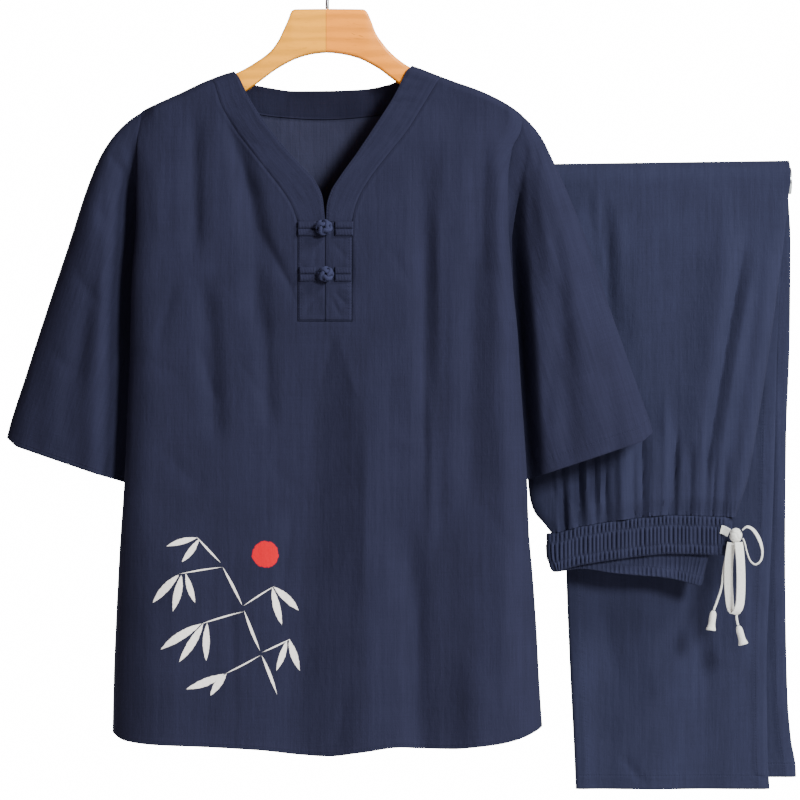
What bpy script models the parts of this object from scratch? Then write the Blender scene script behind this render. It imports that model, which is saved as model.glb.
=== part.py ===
"""A two-piece linen suit: a short-sleeved top on a wooden hanger, and trousers folded over a bar.

Sizes are in millimetres and become metres where a mesh is made. X runs to the viewer's right, Y away
from the viewer and Z up. The origin is the inside top of the hanger's hook.
"""
import math
from bisect import bisect_right

import bpy
from mathutils import Quaternion, Vector

MM = 0.001

# Cloth
CLOTH = 1.4             # wall of a panel
BAND_WALL = 2.0         # wall of the neckband and placket, which are double cloth
SEAM_GAP = 0.3          # between two pieces that are sewn together
HIDDEN_GAP = 2.5        # the same where inner layers meet the waistband
RIDGE_GAP = 0.25        # from the plane of the hanger to the shoulder seam, on each side
SIDE_GAP = 0.3          # more of it where the side seam lies open, at the hem

# Hang of the top
ARM_REACH = 11.5        # from the hanger's plane to the cloth beside an arm
WRAP_DROP = 9.0         # the cloth has turned over the arm this far below its ridge
DRAPE_DROP = 80.0       # the panels have their full depth this far below the ridge
WRAP_ROWS = (0.0, 0.1, 1.7, 4.8, 9.0)
ROW_SPREAD = 1.35       # how much closer the rows of a panel are near the shoulders
ARMHOLE_HALF = 15.0     # half depth of an armhole
FAN_WIDTH = 16.0        # of a panel's turned edge at the end of the shoulder
FAN_START = 3.0         # the turned edge starts to widen this far below the shoulder's end
FAN_DROP = 35.0         # and has its full width after this
OPEN_TUCK = 40.0        # side seams lie open where they turn in less than this (degrees)
FOLD_FADE = 0.22        # share of a fold's length over which it fades at each end
HEM_LINE = -810.0
PLACKET_TOP = -281.0
PLACKET_LOW = -383.0
PLACKET_LEFT = -29.3
PLACKET_RIGHT = 26.3
SLIT_X = -1.0           # where the two placket strips meet
TURN_STEPS = (0.0, 0.2, 0.4, 0.6, 0.8, 1.0)
UPPER_ROWS = {"front": 6, "back": 5}
LOWER_ROWS = {"front": 9, "back": 6}
NOTCH_COLUMNS = 4       # under the placket's foot
BAND_COLUMNS = (0.0, 0.33, 0.67, 1.0)
PLACKET_COLUMNS = 3
PLACKET_ROWS = 6

# Frogs: a knot in the middle and a leaf of doubled cord on each side
LEAF_HALF = 7.5         # half the height of a leaf
LEAF_RISE = 2.6
LEAF_START = 9.5        # from the slit to a leaf
LEAF_ENDS = {"upper": 29.0, "lower": 27.0}  # from the slit to a leaf's far end
LEAF_LINE = {"upper": -288.5, "lower": -335.0}
LEAF_PROFILE = (
    (-1.0, 0.0), (-0.85, 0.8), (-0.5, 1.0), (-0.12, 0.75), (0.12, 0.75), (0.5, 1.0), (0.85, 0.8), (1.0, 0.0),
)
BUTTON_DEEP = 6.0       # half depth of a knot
BUTTON_FLAT = 0.97      # share of it that the knot's flattened back leaves
BUTTON_SEAT = (-7.0, 0.0, 7.0)  # places across the knot where the cloth under it is felt

# Bar and folded trousers
ROD_Y = 62.0
ROD_Z = -235.2
ROD_SLOPE = 0.014       # the bar rises a little to the right
ROD_MID = 358.0
ROD_ENDS = (239.0, 484.5)
ROD_RADIUS = 14.0
ROD_SIDES = 12
WAIST_STEP = 6.5        # from one layer of cloth to the next at the gathered waist
JOIN_START = {"outer": 0.2, "inner": 0.13}  # share of the way to the waist where the fold's layers close up
JOIN_SPAN = 0.12

# Waistband
BAND_HEIGHT = 40.0
ELASTIC_WALL = 2.0
GATHER_RISE = 1.3
OUTER_GATHERS = 42      # in each outer layer of the folded band
INNER_GATHERS = 22      # in each layer between them
INSIDE_EVERY = 4        # steps of the gathers between two points of the plain inside
WAIST_LINE = -601.0

# Hanger
WOOD_HALF = 8.5         # half thickness of the wood at the middle
WOOD_END_HALF = 6.5
WOOD_CROWN = 5.0        # from the top of the wood's rounded crown to its sides
WOOD_EASE = 3.0
WOOD_END_SHRINK = 0.35
REST_GAP = 1.0          # from the wood's top edge to the cloth that hangs on it
WIRE_RADIUS = 1.9
HOOK_RADIUS = 18.0      # inside the hook
HOOK_STEM = ((0.0, 0.0), (0.0, 8.0), (3.5, 16.0))  # x and height above the wood of the hook's stem
HOOK_TURN = (-40, -10, 20, 50, 80, 110, 140, 170, 195)
HOOK_POINTS = 30
WIRE_BEVEL = 2

# Drawstring
TAPE_WIDTH = 9.0
TAPE_THICK = 1.5
TAPE_PROFILE = ((-1, 0), (-0.8, -1), (0.8, -1), (1, 0), (0.8, 1), (-0.8, 1))
TAIL_RADIUS = 1.25
KNOT_CENTRE = (423.5, 26, -603.5)
KNOT_RADII = (7.0, 6.0, 8.0)
BALL_SIDES = 12
BALL_RINGS = 6
TIP_SIDES = 10


def smooth(t):
    t = min(1.0, max(0.0, t))
    return t * t * (3 - 2 * t)


def rounded(t):
    """A quarter circle from 0 to 1."""
    t = min(1.0, max(0.0, t))
    return math.sqrt(1 - (1 - t) ** 2)


def lerp(a, b, t):
    return a + (b - a) * t


def through(points):
    """A smooth curve through (x, y) points, read at x: level past its ends and with no overshoot."""
    points = sorted(points)
    xs = [p[0] for p in points]
    ys = [p[1] for p in points]
    steps = [(ys[i + 1] - ys[i]) / (xs[i + 1] - xs[i]) for i in range(len(xs) - 1)]
    inner = [2 * a * b / (a + b) if a * b > 0 else 0.0 for a, b in zip(steps, steps[1:])]
    slopes = [steps[0], *inner, steps[-1]]

    def read(x):
        if x <= xs[0]:
            return ys[0]
        if x >= xs[-1]:
            return ys[-1]
        i = bisect_right(xs, x) - 1
        wide = xs[i + 1] - xs[i]
        t = (x - xs[i]) / wide
        bend = t * (1 - t) * wide * (slopes[i] * (1 - t) - slopes[i + 1] * t)
        return lerp(ys[i], ys[i + 1], t * t * (3 - 2 * t)) + bend

    return read


def stations(columns, *rows):
    """A table's named columns, each as a smooth curve of its first column."""
    names = columns.split()
    return {name: through([(row[0], row[i]) for row in rows]) for i, name in enumerate(names) if i}


def listed(columns, *rows):
    """A table's rows, each with its columns' names."""
    names = columns.split()
    return [dict(zip(names, row)) for row in rows]


# Ridge of the cloth over the hanger, seen from the front
RIDGE = stations(
    "x z",
    (-193, -167.4), (-187.5, -163.6), (-172, -156.2), (-151, -146.8), (-126, -134.9),
    (-105, -127), (-96, -124.3), (-90, -121.8), (-73, -112), (-59, -101.5), (-51, -91), (-46, -81),
    (-41, -70), (-36.5, -59.5), (-33, -57.8), (0, -57.5), (37, -57.8), (41, -60.5), (46, -71.5),
    (50, -82), (57, -92.5), (65.5, -102.5), (77.5, -112.5), (86.5, -118), (96, -121.5), (110, -127),
    (127, -133.5), (158, -144.5), (178, -154), (192, -162.5), (202, -170.3),
)["z"]
WOOD_LOW = stations(
    "x z",
    (-178, -184), (-151, -175), (-126, -166), (-105, -157), (-90, -149), (-78, -141), (-66, -132),
    (-51.5, -121.5), (-30, -110.5), (-15, -106.5), (0, -105), (15, -106.5), (30, -110), (53, -121.5),
    (67, -132), (80, -141), (92, -148), (106, -154.5), (137, -167), (168, -179), (190, -190),
)["z"]
WOOD_STATIONS_LEFT = (-1.15, -16, -33, -37, -41, -46, -51, -59, -73, -90, -105, -126, -151, -174, -178)
WOOD_STATIONS_RIGHT = (-0.85, 16, 37, 41, 46, 50, 57, 66, 78, 92, 110, 137, 168, 186, 190)

# Body of the top: fold edges seen from the front, how far each edge turns in to its seam (degrees)
# and how wide that turn is
BODY = stations(
    "z left right tuck turn",
    (-825, -221.5, 223.5, 0, 50),
    (-752, -220, 218.5, 0, 48),
    (-700, -218, 215.8, 0, 46),
    (-640, -214.5, 211.3, 12, 40),
    (-600, -211.5, 207.5, 35, 34),
    (-540, -207, 205, 62, 30),
    (-450, -203, 199, 64, 30),
    (-402, -201, 196, 60, 26),
    (-340, -199, 190, 60, 24),
    (-278, -195, 186, 54, 24),
    (-237, -195, 186, 36, 22),
    (-206, -195, 190, 12, 20),
    (-185, -196, 196, 0, 20),
)
DEPTH = stations(
    "z front back",
    (-830, 48, 34),
    (-720, 46, 32),
    (-640, 44, 30),
    (-490, 45, 28),
    (-400, 46, 29),
    (-340, 44, 31),
    (-280, 38, 32),
    (-240, 31, 32),
    (-200, 22, 31),
    (-160, 15, 28),
    (-120, 12, 24),
)
SIDES = {
    "left": {"sign": -1, "end": -191.0, "top": -166.0, "under": -412.0},
    "right": {"sign": 1, "end": 201.0, "top": -169.5, "under": -412.0},
}
HEM = {
    "front": stations(
        "x z",
        (-221, -804), (-207, -810.5), (-179, -813.5), (-148, -814.8), (-98, -817.4), (-67, -819.5),
        (-26.5, -824.4), (1, -825.6), (34, -821.5), (75, -816.6), (96, -818.3), (126, -818.5),
        (156, -815.6), (177, -813), (197, -808.5), (212, -803), (223, -798),
    )["z"],
    "back": stations(
        "x z",
        (-221, -804), (-169, -811), (-60, -817), (70, -817), (157, -810), (223, -798),
    )["z"],
}

# Soft folds of the panels, ridges with a rise above 0 and troughs with one below
FOLDS = {
    "front": listed(
        "x_top z_top x_low z_low bow width rise",
        (-137, -150, -134, -330, 0, 9, -4.5),
        (-98, -165, -70, -410, 8, 12, -5),
        (-86, -225, -52, -345, 0, 9, -3),
        (-128, -330, -114, -520, 4, 11, -5),
        (-66, -360, -58, -500, 0, 9, -3.5),
        (4, -365, -34, -1000, -10, 22, -9),
        (42, -420, 32, -1000, 6, 17, 8),
        (92, -120, 108, -620, 4, 9, -6),
        (112, -230, 104, -640, 3, 8, 4),
        (80, -560, 94, -1000, 8, 15, -8),
        (150, -260, 146, -600, 0, 14, -5),
        (176, -170, 183, -620, 0, 9, 3.5),
        (-150, -560, -160, -1000, 0, 22, 4),
        (150, -700, 158, -1000, 0, 18, 4),
    ),
    "back": listed(
        "x_top z_top x_low z_low bow width rise",
        (-120, -190, -104, -640, 6, 16, -6),
        (-52, -240, -66, -1000, 4, 20, 6),
        (2, -200, 6, -760, -5, 22, -8),
        (64, -330, 76, -1000, 0, 18, 6),
        (118, -220, 128, -700, 4, 15, -6),
        (-146, -520, -150, -1000, 0, 18, 4),
    ),
}

# Neckband: outer seam and free inner edge of each side, from the shoulder (0.1) to the placket (1)
NECK = {
    "left": stations(
        "t outer_x outer_z inner_x inner_z",
        (0.0, -119.5, -130.5, -96, -124.3),
        (0.1, -115, -138.6, -90.5, -131.0),
        (0.2, -111.5, -152, -82.5, -147.5),
        (0.3, -105, -168, -73, -164.5),
        (0.4, -94.5, -184.5, -61.5, -181),
        (0.5, -83, -200.5, -49.5, -196.5),
        (0.6, -71, -215.5, -37.5, -210.5),
        (0.7, -59, -231, -25.5, -223.5),
        (0.8, -47, -246.5, -14, -236),
        (0.9, -36.5, -262.5, -4.8, -252),
        (1.0, -29, -281, -1.3, -281),
    ),
    "right": stations(
        "t outer_x outer_z inner_x inner_z",
        (0.0, 118.5, -130.4, 87.5, -118.4),
        (0.1, 113, -139.2, 82, -128),
        (0.2, 104, -152, 72.5, -145),
        (0.3, 94, -169, 61, -163),
        (0.4, 82.5, -187, 49.5, -181.5),
        (0.5, 69.5, -203.5, 37.5, -200),
        (0.6, 57, -219.5, 25.5, -218),
        (0.7, 45.5, -235, 14, -234),
        (0.8, 36.5, -249.5, 5.5, -247.5),
        (0.9, 30, -264.5, 0.4, -262),
        (1.0, 26, -281, -0.7, -281),
    ),
}
NECK_STEPS = (0.1, 0.24, 0.4, 0.56, 0.7, 0.82, 0.92, 1.0)
BACK_NECK = stations(
    "s outer_x outer_z inner_x inner_z",
    (0.0, -116.0, -138.9, -91.5, -131.5),
    (0.12, -107, -151, -80, -136),
    (0.25, -86, -163.5, -62, -139.5),
    (0.4, -50, -170, -34, -142.5),
    (0.55, -5, -172.5, -2, -142.3),
    (0.7, 45, -169, 34, -141),
    (0.85, 87, -158, 65, -136),
    (1.0, 114, -140.5, 84, -127),
)
BACK_STEPS = (0.0, 0.12, 0.25, 0.4, 0.55, 0.7, 0.85, 1.0)

# Sleeves: outer and inner edge seen from the front, and half the depth before and behind the hanger's
# plane, from the armhole (0) to the cuff (1)
SLEEVES = {
    "left": stations(
        "w outer_x outer_z inner_x inner_z front back",
        (0.0, -191.3, -166.2, -189, -412, 15, 15),
        (0.06, -202, -173.5, -192.5, -419, 17, 17),
        (0.15, -217, -187.5, -194, -431, 21, 20),
        (0.25, -232, -209, -196.5, -444, 26, 24),
        (0.35, -245.5, -240, -198, -457, 29, 27),
        (0.5, -266.5, -304, -198.5, -480, 30, 29),
        (0.65, -286.5, -364, -199, -503, 30, 29),
        (0.8, -307.5, -429, -199.5, -525, 30, 29),
        (0.94, -326, -490, -200, -543, 28, 28),
        (1.0, -330, -507, -200, -551, 27, 27),
    ),
    "right": stations(
        "w outer_x outer_z inner_x inner_z front back",
        (0.0, 201.3, -169.8, 186, -412, 15, 15),
        (0.06, 209, -177.5, 189.5, -419, 17, 17),
        (0.15, 220.5, -192, 192, -431, 21, 20),
        (0.25, 233, -217, 193, -444, 26, 24),
        (0.35, 247, -248, 195, -457, 29, 27),
        (0.5, 268, -301, 197, -480, 30, 28),
        (0.65, 289.5, -364, 199, -502, 30, 28),
        (0.8, 311, -425, 200.5, -523, 30, 28),
        (0.94, 331, -485, 201.5, -539, 28, 27),
        (1.0, 335.5, -501.5, 202, -546, 27, 26),
    ),
}
SLEEVE_RINGS = (0.0, 0.06, 0.13, 0.22, 0.34, 0.48, 0.64, 0.82, 1.0)
SLEEVE_SIDES = 22
CUFF_CORNER = 5.0       # how far the cuff's outer corner is rounded up
CUFF_CORNER_SHARE = 0.1  # of the sleeve's width that this takes up
CUFF_CORNER_START = 0.8  # how far down the sleeve it starts
SHOULDER_DROP = 90.0    # below the shoulder's end, a sleeve's recess beside the body is at its full depth
SHOULDER_LEVEL = 8.0    # and above this it has none
RECESS_SHARE = 0.3      # of a sleeve's depth that is left beside the body
RECESS_WIDTH = 27.0     # from the body to the sleeve's full depth
ARMHOLE_HOLD = 12       # how soon a sleeve leaves the armhole's line
ARMHOLE_STAND = 4.0
SLEEVE_FOLDS = {
    "left": listed(
        "x_top z_top x_low z_low bow width rise",
        (-222, -215, -262, -470, 4, 10, -4),
        (-230, -250, -240, -600, -3, 12, 4),
        (-285, -330, -310, -600, 0, 12, -2.5),
    ),
    "right": listed(
        "x_top z_top x_low z_low bow width rise",
        (222, -190, 262, -440, 4, 12, 4),
        (236, -260, 250, -560, 0, 11, -3.5),
        (270, -330, 298, -560, 4, 12, -3),
    ),
}

# Trousers: edges of the waist portion in front of the bar, and of each leg behind it
WAIST_PART = stations(
    "z left right inner_right",
    (-640, 233, 419, 397),
    (-603, 233, 420, 398),
    (-592, 226, 423, 402),
    (-580, 216, 426, 407),
    (-565, 211, 431, 414),
    (-547, 209, 436.7, 422),
    (-505, 206, 444.5, 434),
    (-443, 203, 454.6, 445.5),
    (-370, 203, 465, 457),
    (-328, 206, 470.5, 463),
    (-297, 213, 474.5, 470),
    (-260, 228, 478.5, 477.5),
    (-232, 238, 482.5, 482.5),
)
LEGS = {
    "near": stations(
        "z left right",
        (-871, 260.5, 463.7),
        (-836, 259, 461.6),
        (-736, 254, 460.6),
        (-647, 250.5, 464),
        (-568, 249, 467.5),
        (-400, 244.5, 472),
        (-300, 241, 477),
        (-232, 238, 482.5),
    ),
    "far": stations(
        "z left right",
        (-862, 288.5, 493.5),
        (-850, 288, 493),
        (-823, 286.5, 488.3),
        (-780, 284, 484.6),
        (-696, 279, 482.3),
        (-611, 275, 481.4),
        (-506, 268, 482),
        (-400, 260, 485.5),
        (-300, 248, 486.2),
        (-232, 238, 482.5),
    ),
}
LEG_HEM = {"near": -872.3, "far": -861.3}
# Distance from the bar's plane to the middle of each pair of layers, and half of what parts them
PAIRS = listed(
    "pair bar_centre bar_half waist_centre waist_half hem_centre hem_half",
    ("near", 15.95, 0.95, 9.75, 3.25, 20, 4),
    ("far", 19.75, 0.95, 22.75, 3.25, 36, 4),
)
LAYERS = listed(
    "node pair step inner pleated",
    ("leg_near_front", 0, -1, False, False),
    ("leg_near_back", 0, 1, True, False),
    ("leg_far_back", 1, -1, True, False),
    ("leg_far_front", 1, 1, False, True),
)
EDGE_TURN = 12.0        # width over which a layer turns in to its seam
FOLD_TURN = 5.0         # the same where the waist folds round its inner layers
WAIST_TOP = stations(
    "x z",
    (226, -602), (233, -601.7), (262, -595), (290, -590.3), (322, -586), (356, -583), (420, -585),
)["z"]
INNER_DROP = stations("x drop", (226, 0), (262, 4), (300, 15), (350, 25), (400, 33))["drop"]
PLEATS = listed(
    "x_top z_top x_low z_low bow width rise",
    (234, -540, 259, -625, -4, 4.5, -2.6),
    (247, -540, 265, -625, -2, 4.5, 2.4),
    (258, -525, 271, -625, 0, 4.5, -2.4),
    (268, -500, 280, -625, -2, 5, 2.2),
    (276, -480, 288, -625, -3, 5, -2.8),
    (286, -500, 298, -625, -4, 5, -1.6),
    (309, -440, 311, -625, 0, 7, 3.0),
    (317, -500, 322, -625, -2, 4, -2.4),
    (340, -490, 337, -625, 0, 7, 2.2),
    (360, -505, 353, -625, 0, 5, -2.6),
    (376, -500, 370, -625, 0, 5, -2.2),
    (395, -500, 390, -625, 0, 4.5, -2.4),
    (414, -510, 409, -625, 0, 4, -1.8),
)
WAIST_FOLDS = listed(
    "x_top z_top x_low z_low bow width rise",
    (262, -250, 246, -560, -4, 9, 2.2),
    (298, -238, 296, -520, 3, 10, 3.2),
    (345, -250, 336, -540, 0, 15, 2.6),
    (418, -245, 376, -580, 6, 17, 3.6),
    (462, -265, 416, -600, 6, 9, 2.0),
)
LEG_FOLDS = listed(
    "x_top z_top x_low z_low bow width rise",
    (335, -430, 345, -1000, 0, 28, 3),
    (400, -460, 392, -1000, 0, 24, -3),
    (290, -600, 285, -1000, 0, 18, -2.5),
)
WAIST_ROWS = (0.0, 0.07, 0.16, 0.28, 0.43, 0.6, 0.78, 1.0)
LEG_ROWS = (0.15, 0.35, 0.57, 0.79, 1.0)
ARC_STEPS = 6
PLAIN_COLUMNS = (0, 0.02, 0.07, 0.25, 0.5, 0.75, 0.93, 0.98, 1)
PLEAT_COLUMNS = (
    0, 0.02, 0.07, 0.13, 0.17, 0.205, 0.25, 0.295, 0.345, 0.40, 0.45, 0.51, 0.57, 0.635, 0.69, 0.735,
    0.785, 0.85, 0.93, 0.98, 1,
)

# Knots of the frogs
BUTTONS = listed(
    "node x z wide high",
    ("button_upper", -2.5, -287.5, 9.3, 8.6),
    ("button_lower", -0.5, -335.0, 8.7, 8.2),
)

# Flat tapes of the drawstring: each route's points, the direction of its width at its first end, how far
# the width turns along it (degrees) and how many sections it has
TAPES = listed(
    "node width turns sections route",
    ("drawstring_exit", (0, 0, 1), (0, 0), 4, (
        (408.5, 32.4, -597.5), (412, 31, -598.5), (416.4, 28, -601),
    )),
    ("drawstring_loop_small", (0.45, 0.85, 0.3), (0, 10, 0, 0, 0), 20, (
        (430.2, 25, -597.5), (435, 24, -594.4), (441.5, 23, -598), (447.5, 22, -608), (450.5, 22, -619.5),
        (449, 22, -629), (443.5, 22.5, -633.5), (438, 23.5, -629.5), (434.5, 24.5, -620), (432.5, 25, -611.5),
        (430.5, 25.5, -606.5),
    )),
    ("drawstring_loop_long", (1, 0, 0), (-10, -2, -10, -60, -80, -80), 22, (
        (426, 22, -610.4), (427.5, 19, -630), (428, 18, -655), (427, 18, -673), (424.5, 19, -681),
        (421, 23, -684.5), (418.5, 27, -680), (417, 28, -670), (416, 28, -652), (416.5, 28, -630),
        (419, 27.5, -610.9),
    )),
)
# Thin ends of the drawstring and the bell-shaped tip of each
TAILS = listed(
    "side points tip_top tip_foot route",
    ("left", 16, (400.3, 27.1, -681.5), (397.5, 27, -702), (
        (420.5, 30.2, -610.2), (415.7, 31.3, -620), (411.5, 31.3, -637), (409, 30.5, -657), (404, 28, -672),
        (400.5, 27.2, -681),
    )),
    ("right", 18, (426.2, 28.8, -697.5), (431.5, 28, -717), (
        (425.5, 30.2, -610.3), (426.5, 31.4, -625), (426, 31.4, -648), (425, 31.2, -670), (424.5, 30, -688),
        (426, 29, -697),
    )),
)
TIP_PROFILE = listed(
    "share radius",
    (0.0, 1.9), (0.15, 2.9), (0.55, 3.1), (0.75, 3.6), (0.92, 5.0), (1.0, 4.6),
)

# Colours (linear), roughness, metallic
FINISHES = {
    "navy_linen": ((0.030, 0.036, 0.068), 0.86, 0.0),
    "navy_band": ((0.034, 0.040, 0.074), 0.84, 0.0),
    "navy_button": ((0.045, 0.052, 0.086), 0.8, 0.0),
    "pale_wood": ((0.83, 0.44, 0.13), 0.42, 0.0),
    "amber_wood": ((0.76, 0.37, 0.10), 0.42, 0.0),
    "steel": ((0.62, 0.62, 0.63), 0.28, 1.0),
    "cream_cotton": ((0.82, 0.79, 0.72), 0.8, 0.0),
}


def finish(obj, name):
    colour, roughness, metallic = FINISHES[name]
    look = bpy.data.materials.new(f"{obj.name}_{name}")
    look.use_nodes = True
    shader = look.node_tree.nodes["Principled BSDF"]
    shader.inputs["Base Color"].default_value = (*colour, 1.0)
    shader.inputs["Roughness"].default_value = roughness
    shader.inputs["Metallic"].default_value = metallic
    look.diffuse_color = (*colour, 1.0)
    obj.data.materials.append(look)


def new_mesh(name, points, faces, look):
    mesh = bpy.data.meshes.new(name)
    mesh.from_pydata([tuple(c * MM for c in p) for p in points], [], faces)
    mesh.validate()
    obj = bpy.data.objects.new(name, mesh)
    bpy.context.collection.objects.link(obj)
    finish(obj, look)
    return obj


def welded(grids):
    """Points and faces of grids, each a list of rows of points, which share the points in common."""
    points = []
    numbers = {}
    faces = []

    def number(p):
        key = tuple(round(c, 4) for c in p)
        if key not in numbers:
            numbers[key] = len(points)
            points.append(p)
        return numbers[key]

    for rows in grids:
        ids = [[number(p) for p in row] for row in rows]
        for upper, lower in zip(ids, ids[1:]):
            for j in range(len(upper) - 1):
                face = (upper[j], lower[j], lower[j + 1], upper[j + 1])
                corners = tuple(dict.fromkeys(face))
                if len(corners) > 2:
                    faces.append(corners)
    return points, faces


def cloth(name, grids, wall, look):
    """A cloth wall under its outer points: rows run down, and points from left to right seen from outside."""
    points, faces = welded(grids)
    obj = new_mesh(name, points, faces, look)
    thick = obj.modifiers.new("wall", "SOLIDIFY")
    thick.thickness = wall * MM
    thick.offset = -1
    obj.data.shade_smooth()
    return obj


def lofted(name, rings, look):
    """A closed solid through rings of points, with flat ends."""
    count = len(rings[0])
    points = [p for ring in rings for p in ring]
    faces = [tuple(reversed(range(count))), tuple((len(rings) - 1) * count + j for j in range(count))]
    for i in range(len(rings) - 1):
        for j in range(count):
            k = (j + 1) % count
            faces.append((i * count + j, i * count + k, (i + 1) * count + k, (i + 1) * count + j))
    return new_mesh(name, points, faces, look)


def relief(folds, x, z):
    """How far soft folds lift the cloth at (x, z)."""
    total = 0.0
    for fold in folds:
        t = (fold["z_top"] - z) / (fold["z_top"] - fold["z_low"])
        if 0 < t < 1:
            middle = lerp(fold["x_top"], fold["x_low"], t) + 4 * fold["bow"] * t * (1 - t)
            fade = smooth(t / FOLD_FADE) * smooth((1 - t) / FOLD_FADE)
            total += fold["rise"] * fade * math.exp(-((x - middle) / fold["width"]) ** 2)
    return total


def depth(face, x, z):
    """Distance from the hanger's plane to the outside of the front or back of the top."""
    drop = RIDGE(x) - z
    full = DEPTH[face](z) + relief(FOLDS[face], x, z)
    return rounded(drop / WRAP_DROP) * lerp(ARM_REACH, full, smooth(drop / DRAPE_DROP))


def outside(face, x, z):
    """A point on the outside of the front (towards the viewer) or back of the top."""
    away = RIDGE_GAP + depth(face, x, z)
    return (x, -away if face == "front" else away, z)


def armhole(side, z):
    """Half depth of the armhole at height z."""
    middle = (side["top"] + side["under"]) / 2
    half = (side["top"] - side["under"]) / 2
    s = abs((z - middle) / half)
    return ARMHOLE_HALF * math.sqrt(1 - s ** 3) if s < 1 else 0.0


def body_edge(side, z):
    return BODY["left" if side["sign"] < 0 else "right"](z)


def turned_x(side, z, f):
    """X on the turned edge of a panel, from its seam (f = 0) to the flat of the panel (1)."""
    tuck = BODY["tuck"](z)
    angle = math.radians(lerp(-tuck, 90, f))
    turned = body_edge(side, z) - side["sign"] * BODY["turn"](z) * (1 - math.cos(angle))
    at_top = side["end"] - side["sign"] * FAN_WIDTH * f
    return lerp(at_top, turned, smooth((side["top"] - FAN_START - z) / FAN_DROP))


def turned(side, face, z, f):
    """A point on the turned edge of a panel."""
    tuck = math.radians(BODY["tuck"](z))
    angle = lerp(-tuck, math.pi / 2, f)
    share = (math.sin(angle) + math.sin(tuck)) / (1 + math.sin(tuck))
    x = turned_x(side, z, f)
    open_seam = SIDE_GAP * (1 - smooth(BODY["tuck"](z) / OPEN_TUCK)) * (1 - f)
    away = RIDGE_GAP + open_seam + lerp(armhole(side, z), depth(face, x, z), share)
    return (x, -away if face == "front" else away, z)


def flat_x(x_at_placket, z):
    """X of a column of the flat of a panel below the placket's level, as the body widens."""
    level = PLACKET_LOW
    ends = [turned_x(SIDES[s], level, 1.0) for s in ("left", "right")]
    share = (x_at_placket - ends[0]) / (ends[1] - ends[0])
    return lerp(turned_x(SIDES["left"], z, 1.0), turned_x(SIDES["right"], z, 1.0), share)


def over_ridge(x_top, x_low):
    """Points (x, z) of a line over the ridge, from its top to where the cloth has turned over the arm."""
    xs = [lerp(x_top, x_low, drop / WRAP_DROP) for drop in WRAP_ROWS]
    return [(x, RIDGE(x) - drop) for x, drop in zip(xs, WRAP_ROWS)]


def moved_out(line, gap, clockwise):
    """The line moved sideways by a gap, as a seam's other edge."""
    out = []
    for i, (x, z) in enumerate(line):
        before = line[max(i - 1, 0)]
        after = line[min(i + 1, len(line) - 1)]
        along = Vector((after[0] - before[0], after[1] - before[1])).normalized()
        side = Vector((along.y, -along.x)) if clockwise else Vector((-along.y, along.x))
        out.append((x + side.x * gap, z + side.y * gap))
    return out


def neck_line(side_name, which, gap=0.0):
    """Points (x, z) down one edge of a front neckband, over the ridge and then below it."""
    table = NECK[side_name]
    sign = SIDES[side_name]["sign"]
    read_x, read_z = table[which + "_x"], table[which + "_z"]
    top = over_ridge(read_x(0.0) + sign * gap, read_x(0.1) + sign * gap)
    below = [top[-1]] + [(read_x(t), read_z(t)) for t in NECK_STEPS[1:]]
    return top, moved_out(below, gap, sign < 0)[1:]


def back_neck_line(which, gap=0.0):
    """Points (x, z) along one edge of the back neckband: over the left ridge, between, over the right."""
    read_x, read_z = BACK_NECK[which + "_x"], BACK_NECK[which + "_z"]
    ends = []
    for side_name, s in (("left", 0.0), ("right", 1.0)):
        shift = SIDES[side_name]["sign"] * gap
        ends.append(over_ridge(NECK[side_name][which + "_x"](0.0) + shift, read_x(s) + shift))
    between = [(read_x(s), read_z(s)) for s in BACK_STEPS[1:-1]]
    return ends[0], [(x, z - gap) for x, z in between], ends[1]


def shoulder_columns(side_name, count):
    """X at the tops of the columns between a panel's turned edge and its neck seam."""
    side = SIDES[side_name]
    start = side["end"] - side["sign"] * FAN_WIDTH
    corner = NECK[side_name]["outer_x"](0.0)
    return [lerp(start, corner, (i + 1) / (count + 1)) for i in range(count)]


def ridge_rows(side, face, shoulders, lows, seam):
    """Rows of a panel from the ridge down to where it has turned over the arm, from the armhole inwards."""
    grid = []
    for i, drop in enumerate(WRAP_ROWS):
        row = []
        for f in TURN_STEPS:
            row.append(turned(side, face, RIDGE(side["end"] - side["sign"] * FAN_WIDTH * f) - drop, f))
        for x_top, x_low in zip(shoulders, lows):
            row.append(column_point(face, x_top, RIDGE(x_top), x_low, RIDGE(x_top) - drop))
        row.append(outside(face, *seam[i]))
        grid.append(row)
    return grid


def column_point(face, x_top, z_top, x_low, z):
    """A point at height z on a column of a panel's upper part."""
    x = lerp(x_top, x_low, (z_top - z) / (z_top - PLACKET_LOW))
    return outside(face, x, z)


def side_column(side, face, f, count):
    """Points of a column of a panel's turned edge, from below the ridge to the placket's foot."""
    start = RIDGE(side["end"] - side["sign"] * FAN_WIDTH * f) - WRAP_DROP
    return [turned(side, face, lerp(start, PLACKET_LOW, t), f) for t in row_shares(count)]


def flat_column(face, x_top, z_top, x_low, z_start, count):
    zs = [lerp(z_start, PLACKET_LOW, t) for t in row_shares(count)]
    return [column_point(face, x_top, z_top, x_low, z) for z in zs]


def row_shares(count):
    return [(i / count) ** ROW_SPREAD for i in range(count + 1)]


def rows_of(columns):
    return [list(row) for row in zip(*columns)]


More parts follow.
